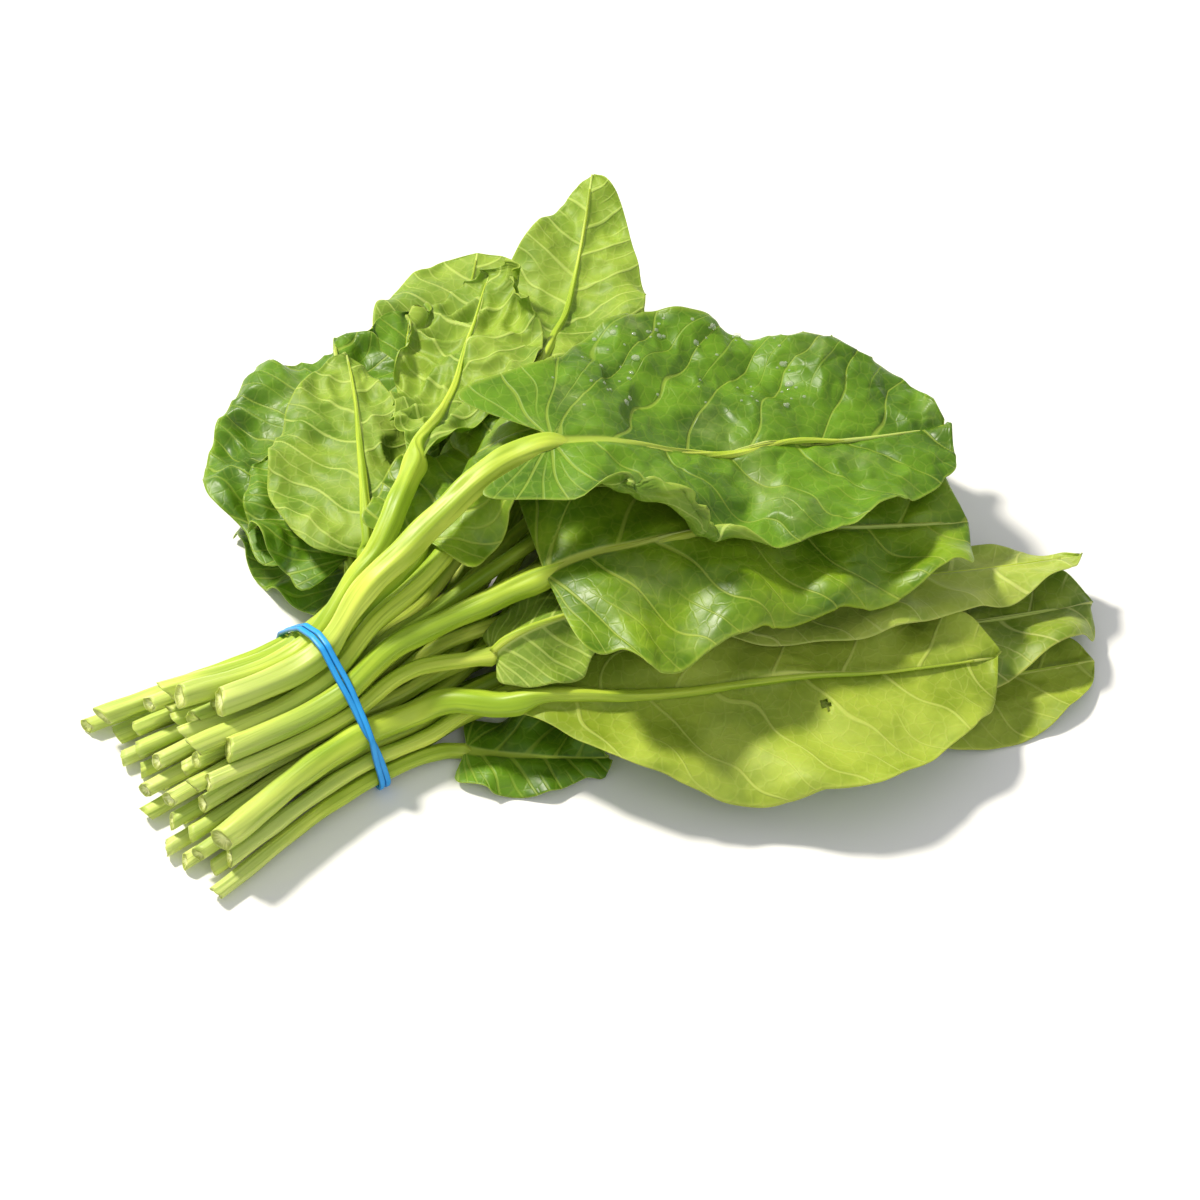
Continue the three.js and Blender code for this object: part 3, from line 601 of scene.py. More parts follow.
# %% Mesh helpers
THICKNESS = 0.5


def blade_faces(keep):
    """Faces of the closed sheet over the kept squares, as (upper, lower, walls), for points numbered
    row by row, the lower side's after the upper side's."""
    rows, columns = keep.shape[0] + 1, keep.shape[1] + 1
    number = np.arange(rows * columns).reshape(rows, columns)
    lower = rows * columns
    a, b = number[:-1, :-1][keep], number[1:, :-1][keep]
    c, d = number[1:, 1:][keep], number[:-1, 1:][keep]
    upper_faces = np.stack([a, d, c, b], axis=1)
    lower_faces = np.stack([a, b, c, d], axis=1) + lower
    held = np.pad(keep, 1)
    walls = []
    for first, second, start, end in (
        (held[1:, 1:-1], held[:-1, 1:-1], number[:, :-1], number[:, 1:]),
        (held[:-1, 1:-1], held[1:, 1:-1], number[:, 1:], number[:, :-1]),
        (held[1:-1, 1:], held[1:-1, :-1], number[1:], number[:-1]),
        (held[1:-1, :-1], held[1:-1, 1:], number[:-1], number[1:]),
    ):
        rim = first & ~second
        s, e = start[rim], end[rim]
        walls.append(np.stack([e, s, s + lower, e + lower], axis=1))
    return upper_faces, lower_faces, np.concatenate(walls)


def tube_faces(rows, around, first):
    """Faces of a tube whose first and last rows are single points, for points numbered from first: the
    start point, the rings between, then the end point."""
    ring = first + 1 + np.arange((rows - 2) * around).reshape(rows - 2, around)
    after = np.roll(ring, -1, axis=1)
    sides = np.stack([ring[:-1], after[:-1], after[1:], ring[1:]], axis=-1).reshape(-1, 4)
    last = first + 1 + (rows - 2) * around
    start = np.stack([np.full(around, first), after[0], ring[0]], axis=1)
    end = np.stack([np.full(around, last), ring[-1], after[-1]], axis=1)
    return sides, start, end


def add_mesh(name, points, faces, finishes, facts):
    """A shaded mesh object from points in millimetres. faces is a list of arrays of corner numbers, with
    the number of the material each array wears, and facts are named values at the points."""
    corners = np.concatenate([group.ravel() for group, _ in faces]).astype(np.int32)
    sides = np.concatenate([np.full(len(group), group.shape[1]) for group, _ in faces])
    worn = np.concatenate([np.full(len(group), number) for group, number in faces]).astype(np.int32)
    used, corners = np.unique(corners, return_inverse=True)
    mesh = bpy.data.meshes.new(name)
    mesh.vertices.add(len(used))
    mesh.vertices.foreach_set("co", (points[used] * MM).astype(np.float32).ravel())
    mesh.loops.add(len(corners))
    mesh.loops.foreach_set("vertex_index", corners.reshape(-1).astype(np.int32))
    mesh.polygons.add(len(sides))
    starts = np.concatenate([[0], sides.cumsum()[:-1]]).astype(np.int32)
    mesh.polygons.foreach_set("loop_start", starts)
    mesh.polygons.foreach_set("material_index", worn)
    mesh.polygons.foreach_set("use_smooth", np.ones(len(sides), bool))
    for title, values in facts.items():
        layer = mesh.attributes.new(title, "FLOAT_VECTOR", "POINT")
        layer.data.foreach_set("vector", values[used].astype(np.float32).ravel())
    for finish in finishes:
        mesh.materials.append(finish)
    mesh.update(calc_edges=True)
    made = bpy.data.objects.new(name, mesh)
    bpy.context.scene.collection.objects.link(made)
    return made

# %% [markdown]
# ## Finishes
# The upper side of a spinach blade has a thin wax layer over small shiny cells: a soft, slightly grey
# gloss over green, with pale veins sunk into it. Part of that grey gloss is painted into the colour as
# pale grey-green patches, a painted sheen, and the cushion tops are painted lighter, a painted highlight.
# The underside has more air under its skin, so it is lighter, yellower and duller, and its veins stand
# proud. Colours are the usual sRGB hex values, made linear by one function. The veins come from the vein
# number that each point carries.

# %% Colour and node helpers
def linear(hex_colour):
    """An sRGB hex colour as linear red, green, blue and alpha 1."""
    shares = np.array([int(hex_colour[i : i + 2], 16) / 255 for i in (1, 3, 5)])
    shares = np.where(shares <= 0.04045, shares / 12.92, ((shares + 0.055) / 1.055) ** 2.4)
    return (*shares.tolist(), 1.0)


def add(tree, kind, inputs=(), **settings):
    """Adds one shader node: its settings are properties, its inputs are values or sockets to link."""
    made = tree.nodes.new("ShaderNode" + kind)
    for key, value in settings.items():
        setattr(made, key, value)
    for key, value in dict(inputs).items():
        if isinstance(value, bpy.types.NodeSocket):
            tree.links.new(value, made.inputs[key])
        else:
            made.inputs[key].default_value = value
    return made


def finish_named(name):
    """A new material with no nodes yet, and its tree."""
    made = bpy.data.materials.new(name)
    made.use_nodes = True
    made.node_tree.nodes.clear()
    return made, made.node_tree


def surface(tree, inputs):
    """Ends a material with one principled surface that has these inputs."""
    skin = add(tree, "BsdfPrincipled", inputs)
    add(tree, "OutputMaterial", {0: skin.outputs[0]})


def noise(tree, place, size, detail=2.0, roughness=0.5):
    """Uneven patches about size millimetres across, as a number from 0 to 1."""
    inputs = {"Vector": place, "Scale": 1 / (size * MM), "Detail": detail, "Roughness": roughness}
    return add(tree, "TexNoise", inputs).outputs["Fac"]


def drawn_out(tree, place, scale, detail):
    """Noise drawn out lengthwise: scale says how many patches a metre holds along each axis."""
    drawn = add(tree, "Mapping", {"Vector": place, "Scale": scale}).outputs[0]
    return add(tree, "TexNoise", {"Vector": drawn, "Scale": 1.0, "Detail": detail}).outputs["Fac"]


def calc(tree, operation, *values):
    """The result of one piece of arithmetic on numbers or sockets."""
    return add(tree, "Math", list(enumerate(values)), operation=operation).outputs[0]


def soft_step(tree, value, low, high, start=0.0, end=1.0):
    """start below low and end above high, with a soft turn at both ends."""
    inputs = {0: value, 1: low, 2: high, 3: start, 4: end}
    return add(tree, "MapRange", inputs, interpolation_type="SMOOTHSTEP").outputs[0]


def blend(tree, share, first, second):
    """A mix of two colours, by a share from 0 to 1."""
    made = add(tree, "Mix", {0: share, 6: first, 7: second}, data_type="RGBA")
    return made.outputs[2]


def carried(tree, title):
    """The three numbers that the points carry under that title, and the three as one vector."""
    source = add(tree, "Attribute", attribute_name=title)
    split = add(tree, "SeparateXYZ", {0: source.outputs["Vector"]})
    return [*split.outputs, source.outputs["Vector"]]


# %% The blade's finish
NET_SIZE = 4.2  # millimetres across a mesh of the finest veins; real ones are nearer 1 mm
WANDER = 3.2  # millimetres that the finest veins stray from straight
# Pale grey-green painted in patches on the blades: a painted sheen that stands for the wax's gloss.
SHEEN_PAINT = "#97a862"


def vein_net(tree, flat):
    """The finest veins: the borders of uneven cells, strongest at 0.26."""
    bent = add(tree, "TexNoise", {"Vector": flat, "Scale": 1 / (5 * MM), "Detail": 2.0}).outputs["Color"]
    nudge = add(tree, "VectorMath", {0: bent, 1: (0.5, 0.5, 0.5)}, operation="SUBTRACT").outputs[0]
    scaled = add(tree, "VectorMath", {0: nudge, "Scale": WANDER * MM}, operation="SCALE").outputs[0]
    strayed = add(tree, "VectorMath", {0: flat, 1: scaled}, operation="ADD").outputs[0]
    inputs = {"Vector": strayed, "Scale": 1 / (NET_SIZE * MM)}
    cells = add(tree, "TexVoronoi", inputs, feature="DISTANCE_TO_EDGE", voronoi_dimensions="2D")
    return soft_step(tree, cells.outputs["Distance"], 0.0, 0.12, 0.26, 0.0)


def blade_finish(name, colours, gloss, raised, vein_strength, sheen_share):
    """A leaf skin: two greens in soft patches, with the cushion tops painted lighter as a painted
    highlight, pale grey-green patches of painted sheen, pale side veins, a net of finer ones, a pale
    midrib and a thin margin. colours are the deep and the light green, the veins and the margin, raised
    is 1 where veins stand proud, -1 where they are sunk, and the last number is how strong the painted
    sheen patches are."""
    deep, light, veins, margin = (linear(part) for part in colours.split())
    made, tree = finish_named(name)
    count, gap, rib, _ = carried(tree, "vein")
    puff, edge, _, _ = carried(tree, "form")
    place = add(tree, "TexCoord").outputs["Object"]
    patches = noise(tree, place, 22, 4.0, 0.6)
    speckle = noise(tree, place, 1.3)
    # Patches where the painted sheen goes.
    sheen_patches = noise(tree, place, 34, 5.0, 0.65)
    off_line = calc(tree, "MULTIPLY", calc(tree, "PINGPONG", count, 0.5), gap)
    off_line = calc(tree, "MULTIPLY", off_line, calc(tree, "MULTIPLY_ADD", edge, 1.1, 0.75))
    side_vein = soft_step(tree, off_line, 0.28, 0.95, 1.0, 0.0)
    forks = calc(tree, "PINGPONG", calc(tree, "MULTIPLY", count, 2.0), 0.5)
    fork_line = soft_step(tree, calc(tree, "MULTIPLY", forks, gap), 0.25, 1.0, 0.75, 0.0)
    fork_vein = calc(tree, "MULTIPLY", fork_line, soft_step(tree, edge, 0.35, 0.75))
    net = vein_net(tree, carried(tree, "flat")[3])
    vein = calc(tree, "MAXIMUM", calc(tree, "MAXIMUM", side_vein, fork_vein), net)
    midrib = soft_step(tree, rib, 0.55, 1.25, 1.0, 0.0)
    colour = blend(tree, soft_step(tree, patches, 0.32, 0.68), deep, light)
    for share, over in (
        # The cushion tops are painted lighter: a painted highlight.
        (calc(tree, "MULTIPLY", puff, 0.32), light),
        (calc(tree, "MULTIPLY", speckle, 0.22), deep),
        # Pale grey-green patches: a painted sheen.
        (soft_step(tree, sheen_patches, 0.5, 0.72, 0.0, sheen_share), linear(SHEEN_PAINT)),
        (calc(tree, "MULTIPLY", vein, vein_strength), veins),
        (calc(tree, "MULTIPLY", midrib, 0.9), veins),
        (soft_step(tree, edge, 0.955, 1.0, 0.0, 0.55), margin),
    ):
        colour = blend(tree, share, colour, over)
    rough = calc(tree, "MULTIPLY_ADD", patches, 0.25, gloss - 0.12)
    rough = calc(tree, "MULTIPLY_ADD", vein, 0.12, rough)
    relief = calc(tree, "MULTIPLY", calc(tree, "MAXIMUM", vein, midrib), float(raised))
    relief = calc(tree, "MULTIPLY_ADD", speckle, 0.25, relief)
    bump = add(tree, "Bump", {"Strength": 0.55, "Distance": 0.35 * MM, "Height": relief})
    surface(tree, {
        "Base Color": colour, "Roughness": rough, "Normal": bump.outputs[0], "IOR": 1.45,
        "Subsurface Weight": 0.12, "Subsurface Radius": (0.5, 1.0, 0.2), "Subsurface Scale": 1.5 * MM,
        "Specular IOR Level": 0.36, "Coat Weight": 0.04, "Coat Roughness": 0.35,
    })
    return made


# %% The blade finishes
# Each row: the material's name, its colours, gloss, raised or sunk veins, their strength, and how strong
# the pale grey-green patches of painted sheen are.
UPPER_ROWS = {
    "deep": ("waxy_blade_deep_green", "#385c08 #699416 #a5ba45 #90a836", 0.4, -1, 0.42, 0.42),
    "mid": ("waxy_blade_mid_green", "#496f0a #8aaa20 #b9c852 #a8bb40", 0.4, -1, 0.44, 0.42),
    "yellow": ("waxy_blade_yellow_green", "#5f7c1b #a5b83f #cdd47e #c6c660", 0.45, -1, 0.5, 0.3),
    "olive": ("old_blade_olive", "#75831d #b8b94a #d6d486 #c9b95c", 0.5, -1, 0.45, 0.25),
}
PALE_ROWS = {
    "cool": ("pale_underside_cool", "#5f821a #94ad3a #c0d26c #a9bd4c", 0.55, 1, 0.55, 0.12),
    "bright": ("pale_underside_bright", "#87a030 #bccb58 #d6e080 #c3cf68", 0.5, 1, 0.55, 0.1),
    "warm": ("pale_underside_warm", "#7c921e #adbf42 #ccd76c #bcc654", 0.55, 1, 0.42, 0.12),
}
UPPER = {tone: blade_finish(*row) for tone, row in UPPER_ROWS.items()}
PALE = {tone: blade_finish(*row) for tone, row in PALE_ROWS.items()}


# %% The stalk's finish
RIND = "#93a03a"


def stalk_finish(name, colours):
    """A juicy green rod: pale green with darker lengthwise threads, a paler foot, and at the cut the
    wet flesh with a darker rind. colours are the shade, the light green, the threads and the flesh."""
    shade, light, streaks, flesh = (linear(part) for part in colours.split())
    made, tree = finish_named(name)
    cut, share, _, _ = carried(tree, "form")
    flat = carried(tree, "flat")[3]
    threads = drawn_out(tree, flat, (900.0, 900.0, 28.0), 3.0)
    patches = drawn_out(tree, flat, (160.0, 160.0, 30.0), 2.0)
    pores = noise(tree, flat, 0.8)
    inside = soft_step(tree, cut, 0.45, 0.62)
    pith = soft_step(tree, calc(tree, "MULTIPLY_ADD", pores, 0.4, cut), 0.85, 1.2)
    colour = blend(tree, soft_step(tree, patches, 0.3, 0.7), shade, light)
    colour = blend(tree, soft_step(tree, share, 0.0, 0.5, 0.4, 0.0), colour, flesh)
    colour = blend(tree, soft_step(tree, threads, 0.5, 0.72, 0.0, 0.5), colour, streaks)
    colour = blend(tree, inside, colour, blend(tree, pith, linear(RIND), flesh))
    relief = calc(tree, "MULTIPLY_ADD", pores, inside, threads)
    bump = add(tree, "Bump", {"Strength": 0.5, "Distance": 0.3 * MM, "Height": relief})
    surface(tree, {
        "Base Color": colour, "Roughness": calc(tree, "MULTIPLY_ADD", threads, 0.3, 0.3),
        "Normal": bump.outputs[0], "IOR": 1.42,
        "Subsurface Weight": 0.25, "Subsurface Radius": (0.8, 1.0, 0.3), "Subsurface Scale": 2.5 * MM,
        "Specular IOR Level": 0.4, "Coat Weight": 0.06, "Coat Roughness": 0.25,
    })
    return made


STALKS = [
    stalk_finish("fresh_stalk_light", "#a3bd33 #d3e25c #8aa926 #e6eca8"),
    stalk_finish("fresh_stalk_green", "#93b228 #c2d648 #78991c #dde592"),
]
print(len(bpy.data.materials), "materials so far")

# %% [markdown]
# ## Building the leaves
# Lowest leaf first: its sheet is shaped, laid on what is below it, joined with its stalk into one
# object, and added to the map that the next one is laid on.

# %% One leaf
ROOM = 0.45  # millimetres between a sheet and what it lies on
STALK_WRAP = 3.5  # millimetres: the radius at which a stalk's pattern is wrapped round it
OFF_RIB = 9.0  # widths of the midrib, so far away that nothing of it shows
SHOWN_GRID, HIDDEN_GRID = (28, 1.4), (18, 2.2)  # points round a stalk, millimetres between its rings


def kept_squares(right, along, holes):
    """Which squares of a blade's grid stay: all but those inside a hole, an uneven eaten circle."""
    right, along = right[:-1, :-1], along[:-1, :-1]
    keep = np.ones(right.shape, bool)
    for x, y, radius in holes:
        angle = np.arctan2(along - y, right - x)
        rim = radius * (1 + 0.3 * np.sin(2 * angle + 1) + 0.18 * np.sin(5 * angle))
        keep &= np.hypot(right - x, along - y) > rim
    return keep


def capped(tube):
    """The points of a tube row by row, where its first and its last row are one point each."""
    return np.concatenate([tube[:1, 0], tube[1:-1].reshape(-1, 3), tube[-1:, 0]])


def told(on_sheet, on_stalk):
    """What a leaf's points tell their material, three numbers each: the sheet's for its upper and again
    for its lower side, and then the stalk's."""
    sheet, stalk = (np.stack(np.broadcast_arrays(*three), axis=-1) for three in (on_sheet, on_stalk))
    sheet = sheet.reshape(-1, 3)
    return np.concatenate([sheet, sheet, capped(stalk)])


def finishes_of(name, number):
    """The materials of a leaf: upper side, underside and stalk."""
    seed = seed_of(name)
    tone = habit(name)["tone"] or ("deep", "mid", "mid")[seed % 3]
    return [UPPER[tone], PALE[habit(name)["pale"]], STALKS[(number + seed) % 2]]


def leaf(name, number, below, over, under):
    """Builds a leaf and returns it with the points of its sheet and of its stalk."""
    seed = seed_of(name)
    green_up = SLOT[name] == "leaf_upper"
    sheet, facts = living_sheet(name)
    right, along, edge = facts["right"], facts["along"], facts["edge"]
    hang = np.clip(facts["rib_width"] * 1.3 - np.abs(right) * 0.4, 0, 3)
    sheet = laid_on(sheet, below, over, under, ROOM + THICKNESS / 2 + hang * green_up)
    aside = faces_up(sheet) * (THICKNESS / 2 * (1 - 0.55 * ease(edge, 0.9, 1.0)))[..., None]
    around, step = SHOWN_GRID if name in HABITS else HIDDEN_GRID
    stalk, parts = stalk_surface(name, sheet, around, step)
    skins = [(sheet + aside).reshape(-1, 3), (sheet - aside).reshape(-1, 3)]
    points = np.concatenate([*skins, capped(stalk)])
    rib = np.abs(right) / facts["rib_width"]
    place, cut, turn = parts["place"][:, None], parts["cut"][:, None], parts["turn"][None, :]
    far = place / parts["blade_start"]
    wrap = STALK_WRAP * MM
    carried_facts = {
        "flat": told(
            (right * MM, along * MM, seed * 1.0),
            (np.cos(turn) * wrap, np.sin(turn) * wrap, place * MM + seed * 0.1),
        ),
        "vein": told((facts["count"], facts["gap"], rib), (place * 0, turn * 0, OFF_RIB)),
        "form": told((facts["puff"], edge, facts["share"]), (cut, far, turn * 0)),
    }
    upper, lower, walls = blade_faces(kept_squares(right, along, habit(name)["holes"]))
    sides, start, end = tube_faces(len(stalk), around, 2 * sheet.shape[0] * sheet.shape[1])
    above = 0 if green_up else 1
    faces = [(upper, above), (lower, 1 - above), (walls, 1), (sides, 2), (start, 2), (end, 2)]
    made = add_mesh(name + "_fine", points, faces, finishes_of(name, number), carried_facts)
    return made, sheet, stalk


# %% The whole pile
def stalk_charts(name):
    """Maps of the highest and the lowest point of a leaf's stalk, from its packed rings."""
    ring = RINGS[name][0][:STALK_RINGS]
    middle = ring.mean(1)
    run = run_of(middle)
    fine = smooth(ring, run, np.linspace(0, run[-1], int(run[-1])))
    round_it = np.concatenate([fine, fine[:, :1]], axis=1).transpose(1, 0, 2)
    count = ring.shape[1]
    fine = smooth(round_it, np.arange(count + 1.0), np.linspace(0, count, 25))
    bottom = -highest(fine * np.array([1, 1, -1.0]))
    return highest(fine), np.where(bottom > NOWHERE / 2, 0, bottom)


GIRDLE_HALF = 1.8  # millimetres: the stalks' points this near the band's middle bear the band
charts = {name: stalk_charts(name) for name in LEAVES}
pile = np.zeros(SIZE)
built = []
sheets, girdle = {}, []
band_low, band_high = (np.array(corner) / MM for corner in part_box("rubber_band"))
band_middle = (band_low + band_high) / 2
for number, name in enumerate(LEAVES):
    later = [charts[other] for other in LEAVES[number + 1 :]]
    made, sheet, stalk = leaf(name, number, pile, [c[0] for c in later], [c[1] for c in later])
    pile = np.maximum(pile, np.maximum(highest(sheet) + THICKNESS / 2, highest(stalk)))
    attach(made, "root")
    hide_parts(name)
    built.append(made)
    sheets[name] = sheet
    girdle.append(stalk[np.abs(stalk[..., 0] - band_middle[0]) < GIRDLE_HALF])
triangles = sum(sum(len(p.vertices) - 2 for p in made.data.polygons) for made in built)
print(len(built), "leaves,", triangles, "triangles, pile", round(float(pile.max()), 1), "mm high")

# %% [markdown]
# ## The rubber band
# One loop of blue rubber, cut from a tube about 2 mm at a time and 1.2 mm thick, goes twice round the
# stalks. Stretched rubber takes the shortest way, so it follows the hull of the stalks' section: over
# each outer stalk in an arc and straight across the gaps. To go round twice, it crosses itself once.

# %% The band's path
BAND_WIDE, BAND_THICK, BAND_APART, BAND_GAP = 1.9, 1.2, 1.1, 0.5
BAND_STEPS, BAND_SIDES = 240, 16  # stations in one turn, and points round the strand


def hull_path(points, gap, count):
    """The hull of flat points, gap further out, as count points at even distances with their outward
    arrows: for every direction the furthest point, moved out by the gap in that direction."""
    angle = np.linspace(0, 2 * math.pi, 1441)
    arrows = np.stack([np.cos(angle), np.sin(angle)], axis=1)
    furthest = points[(points @ arrows.T).argmax(0)]
    line = furthest + arrows * gap
    run = run_of(line)
    at = np.linspace(0, run[-1], count, endpoint=False)
    place = np.stack([np.interp(at, run, line[:, i]) for i in range(2)], axis=1)
    tangent = unit(np.roll(place, -1, axis=0) - np.roll(place, 1, axis=0))
    return place, np.stack([tangent[:, 1], -tangent[:, 0]], axis=1)


section = np.concatenate(girdle)[:, 1:]
once, outward_once = hull_path(section, BAND_GAP + BAND_THICK / 2, BAND_STEPS)
start_place = int(np.argmin(np.abs(once[:, 0] - np.percentile(once[:, 0], 12)) - once[:, 1]))
once, outward_once = (np.roll(part, -start_place, axis=0) for part in (once, outward_once))
lap = np.linspace(0, 4 * math.pi, 2 * BAND_STEPS, endpoint=False)
beside = BAND_APART * np.tanh(5 * np.sin(lap / 2))
hump = 1.35 * np.exp(-(((lap - 2 * math.pi) / 0.3) ** 2))
outward = np.concatenate([outward_once, outward_once])
centre = np.concatenate([once, once]) + outward * hump[:, None]
print("band loop", round(float(np.linalg.norm(np.diff(once, axis=0), axis=1).sum())), "mm round")

# %% The band's surface
turn = np.linspace(0, 2 * math.pi, BAND_SIDES, endpoint=False)
squared = np.stack([np.cos(turn), np.sin(turn)], axis=1)
squared = np.sign(squared) * np.abs(squared) ** 0.6 / 2
wobble = 0.12 * ripple(lap * 12, lap * 0, 9, 3)
band_x = band_middle[0] + (beside + wobble)[:, None] + squared[:, 0] * BAND_WIDE
band_yz = centre[:, None] + outward[:, None] * (squared[:, 1] * BAND_THICK)[None, :, None]
band_points = np.concatenate([band_x[..., None], band_yz], axis=2)
number = np.arange(2 * BAND_STEPS * BAND_SIDES).reshape(2 * BAND_STEPS, BAND_SIDES)
along_next, round_next = np.roll(number, -1, axis=0), np.roll(number, -1, axis=1)
both_next = np.roll(round_next, -1, axis=0)
band_faces = np.stack([number, along_next, both_next, round_next], axis=-1).reshape(-1, 4)


def rubber_finish():
    """Dyed latex rubber, calendered and cut: an even blue with a soft satin, a little paler in uneven
    patches, and painted darker on its two cut sides, which is painted shade."""
    made, tree = finish_named("blue_latex_rubber")
    place = add(tree, "TexCoord").outputs["Object"]
    grain = noise(tree, place, 0.5)
    rim = carried(tree, "form")[1]
    colour = blend(tree, noise(tree, place, 6, 3.0), linear("#0c96e8"), linear("#2fb0f8"))
    # The band's two cut sides are painted darker blue: painted shade.
    colour = blend(tree, soft_step(tree, rim, 0.55, 1.0, 0.0, 0.75), colour, linear("#0a64ab"))
    bump = add(tree, "Bump", {"Strength": 0.4, "Distance": 0.12 * MM, "Height": grain})
    surface(tree, {
        "Base Color": colour, "Roughness": calc(tree, "MULTIPLY_ADD", grain, 0.25, 0.32),
        "Normal": bump.outputs[0], "IOR": 1.52,
        "Subsurface Weight": 0.1, "Subsurface Radius": (0.2, 0.5, 1.0), "Subsurface Scale": 1.0 * MM,
    })
    return made


# rim is 1 on the band's two cut sides, which the material paints darker as painted shade.
rim = np.broadcast_to(np.abs(squared[:, 0]) * 2, number.shape).ravel()
band_form = {"form": np.stack([rim * 0, rim, rim * 0], axis=1)}
band_points = band_points.reshape(-1, 3)
band = add_mesh("rubber_band_fine", band_points, [(band_faces, 0)], [rubber_finish()], band_form)
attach(band, "root")
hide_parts("rubber_band")

# %% [markdown]
# ## Water drops
# The leaves were rinsed. Wax makes water stand in round drops: lenses about a third as high as they
# are wide, a few millimetres across at most, most of them small.

# %% Drops on the top leaf
DROP_ROWS, DROP_ROUND = 6, 14
TOP_DROPS = 64
DROP_LIFT = 0.28  # millimetres from the middle of the sheet up to the middle of a drop


def drops_on(sheet, spots, sizes):
    """One closed lens at each spot of a sheet, spots being shares along and across it: a low dome with
    its foot just under the skin."""
    rows = (spots[:, 0] * (sheet.shape[0] - 1)).astype(int)
    columns = (spots[:, 1] * (sheet.shape[1] - 1)).astype(int)
    base, up = sheet[rows, columns], faces_up(sheet)[rows, columns]
    aside = unit(np.gradient(sheet, axis=1)[rows, columns])
    ahead = np.cross(up, aside)
    climb = np.linspace(0, math.pi, DROP_ROWS + 2)
    high = np.where(climb < math.pi / 2, 0.62, 0.3) * np.cos(climb)
    turn = np.linspace(0, 2 * math.pi, DROP_ROUND, endpoint=False)
    wide = np.sin(climb)[:, None]
    x = wide * np.cos(turn) * (1 + 0.12 * np.sin(turn * 2))
    local = np.stack(np.broadcast_arrays(x, wide * np.sin(turn), high[:, None]), axis=-1)
    local = local[None] * sizes[:, None, None, None]
    turned = np.einsum("drci,dik->drck", local, np.stack([aside, ahead, up], axis=1))
    return base[:, None, None] + turned + up[:, None, None] * DROP_LIFT


def water_finish():
    """Water with an IOR of 1.333: smooth, half clear and half a diffuse near-white, which paints the
    drops pale, a painted glint. A drop is so thin that most of the leaf's light comes straight through
    it, which the alpha stands for."""
    made, tree = finish_named("rinse_water")
    place = add(tree, "TexCoord").outputs["Object"]
    surface(tree, {
        # The near-white base colour, half of it not transmitted, paints the drops pale: a painted glint.
        "Base Color": linear("#f8fcec"), "IOR": 1.333, "Alpha": 0.42, "Transmission Weight": 0.5,
        "Roughness": soft_step(tree, noise(tree, place, 3), 0.3, 0.7, 0.01, 0.05),
        "Coat Weight": 1.0, "Coat Roughness": 0.03,
    })
    return made


dice = np.random.default_rng(12)
top_spots = np.stack([dice.uniform(0.1, 0.72, TOP_DROPS), dice.uniform(0.03, 0.3, TOP_DROPS)], axis=1)
top_sizes = 0.45 + 1.05 * dice.random(TOP_DROPS) ** 2.5
old_spots = np.array([[0.42, 0.5], [0.6, 0.4]])
on_top = drops_on(sheets["top_broad_leaf"], top_spots, top_sizes)
on_old = drops_on(sheets["back_yellow_leaf"], old_spots, np.array([1.5, 1.2]))
lenses = np.concatenate([on_top, on_old])
in_one = DROP_ROWS * DROP_ROUND + 2
pieces = [tube_faces(DROP_ROWS + 2, DROP_ROUND, in_one * i) for i in range(len(lenses))]
drop_faces = [(np.concatenate([piece[k][:, ::-1] for piece in pieces]), 0) for k in range(3)]
drop_points = np.concatenate([capped(lens) for lens in lenses])
drops = add_mesh("water_drops", drop_points, drop_faces, [water_finish()], {})
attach(drops, "root")
print(len(lenses), "drops")

# %% [markdown]
# ## The table
# The bunch lies on a plain pale table. It is a matt, slightly uneven white, so that the only things to
# see on it are the bunch and its soft shadow.

# %% Floor
def floor_finish():
    """A matt white board: nearly even, very rough, with little shine."""
    made, tree = finish_named("matt_white_table")
    place = add(tree, "TexCoord").outputs["Object"]
    colour = blend(tree, noise(tree, place, 1000 / 3), linear("#f1f1ef"), linear("#f7f7f6"))
    surface(tree, {"Base Color": colour, "Roughness": 0.8, "Specular IOR Level": 0.2})
    return made


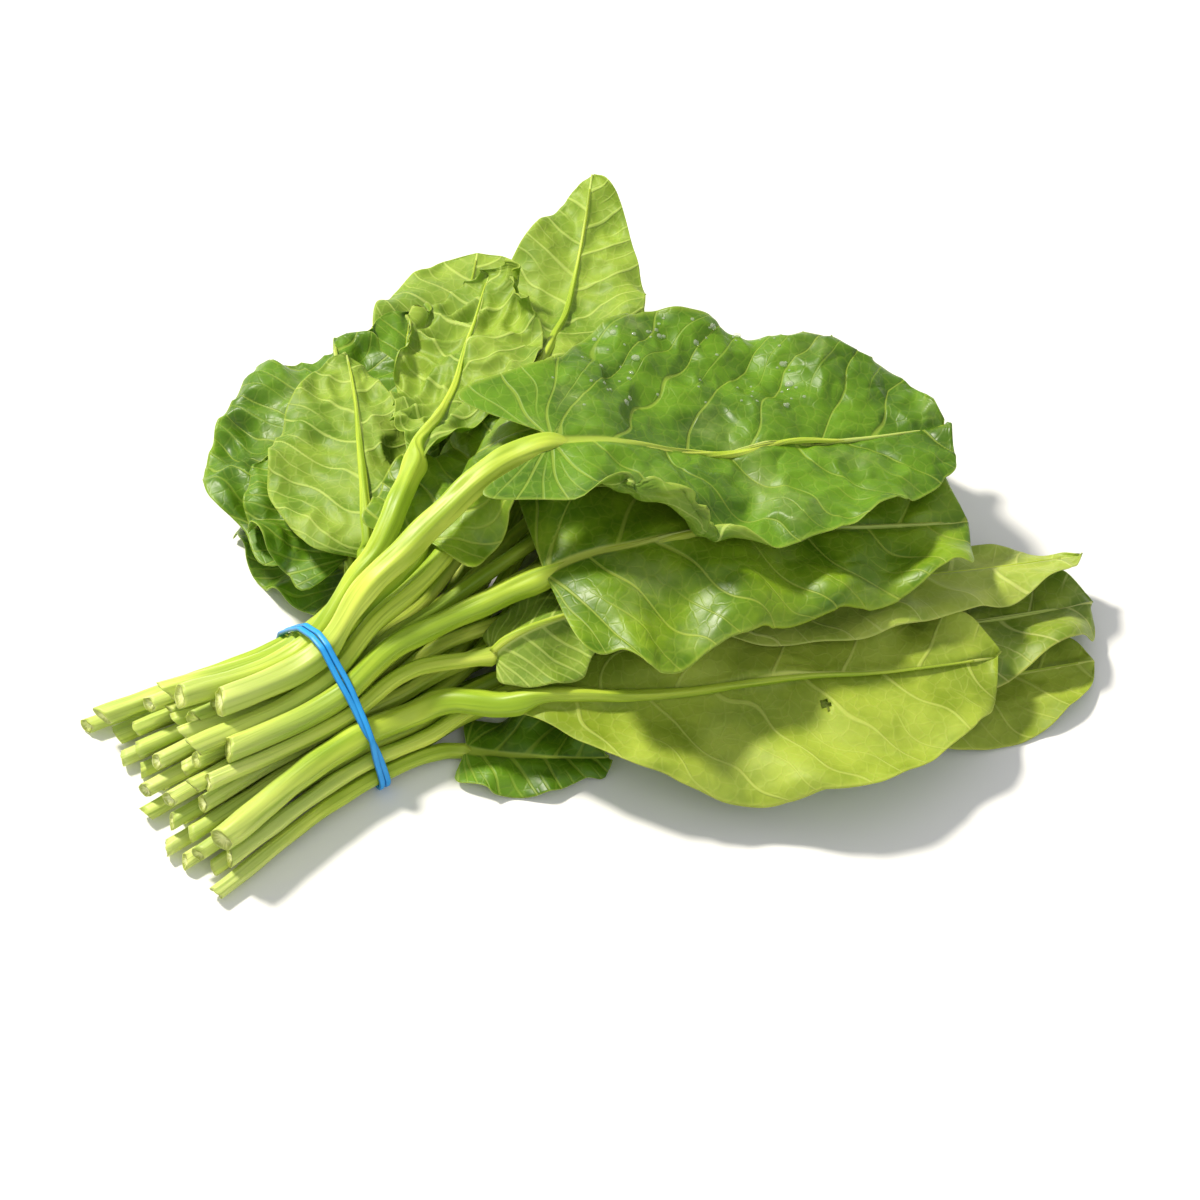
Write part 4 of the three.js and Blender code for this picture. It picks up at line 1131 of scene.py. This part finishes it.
TABLE_HALF = 3.0  # metres from its middle to a side
corners = [(x * TABLE_HALF, y * TABLE_HALF, 0) for x, y in ((-1, -1), (1, -1), (1, 1), (-1, 1))]
floor_mesh = bpy.data.meshes.new("table")
floor_mesh.from_pydata(corners, [], [(0, 1, 2, 3)])
floor_mesh.materials.append(floor_finish())
table = bpy.data.objects.new("table", floor_mesh)
bpy.context.scene.collection.objects.link(table)

# %% [markdown]
# ## Camera and light
# The camera looks down at 50 degrees from the front left with a long lens, so near and far leaves keep
# their sizes. One small warm lamp high on the left, nearly behind the bunch, gives the leaves their
# clear shadows; a large weak one and a plain white surrounding keep the shadows open.

# %% Camera
target = np.array([band_middle[0] * MM + 0.0893, band_middle[1] * MM - 0.0183, 0.02])
AZIMUTH, ELEVATION, DISTANCE = math.radians(-33.6), math.radians(50), 0.8
back = np.array([math.sin(AZIMUTH), -math.cos(AZIMUTH), math.tan(ELEVATION)]) * math.cos(ELEVATION)


def aimed(item, place, at):
    """Puts a camera or a lamp at a place, turned so that it looks at another, and links it."""
    item.location = Vector(place)
    item.rotation_euler = (Vector(at) - Vector(place)).to_track_quat("-Z", "Y").to_euler()
    bpy.context.scene.collection.objects.link(item)
    return item


lens = bpy.data.cameras.new("camera")
lens.lens = 75
lens.sensor_width = 36
lens.clip_start = 0.01
camera = aimed(bpy.data.objects.new("camera", lens), target + back * DISTANCE, target)
bpy.context.scene.camera = camera


# %% Lights
def lamp(name, right, away, high, size, power, colour):
    """A round area lamp aimed at the bunch, placed in metres to the right of, away from and above it as
    the camera sees them."""
    screen_right = np.array([math.cos(AZIMUTH), math.sin(AZIMUTH), 0])
    screen_away = np.array([-math.sin(AZIMUTH), math.cos(AZIMUTH), 0])
    light = bpy.data.lights.new(name, "AREA")
    light.shape = "DISK"
    light.size = size
    light.energy = power
    light.color = linear(colour)[:3]
    place = target + screen_right * right + screen_away * away + np.array([0, 0, high])
    return aimed(bpy.data.objects.new(name, light), place, target)


lamp("key", -0.85, 0.6, 1.25, 0.22, 34, "#fff8ea")
lamp("fill", 0.7, -1.1, 1.3, 1.2, 4, "#f6f9ff")
world = bpy.data.worlds.new("studio")
world.use_nodes = True
surround = world.node_tree.nodes["Background"].inputs
surround["Color"].default_value = linear("#ffffff")
surround["Strength"].default_value = 0.5
bpy.context.scene.world = world
bpy.context.scene.view_settings.view_transform = "Standard"
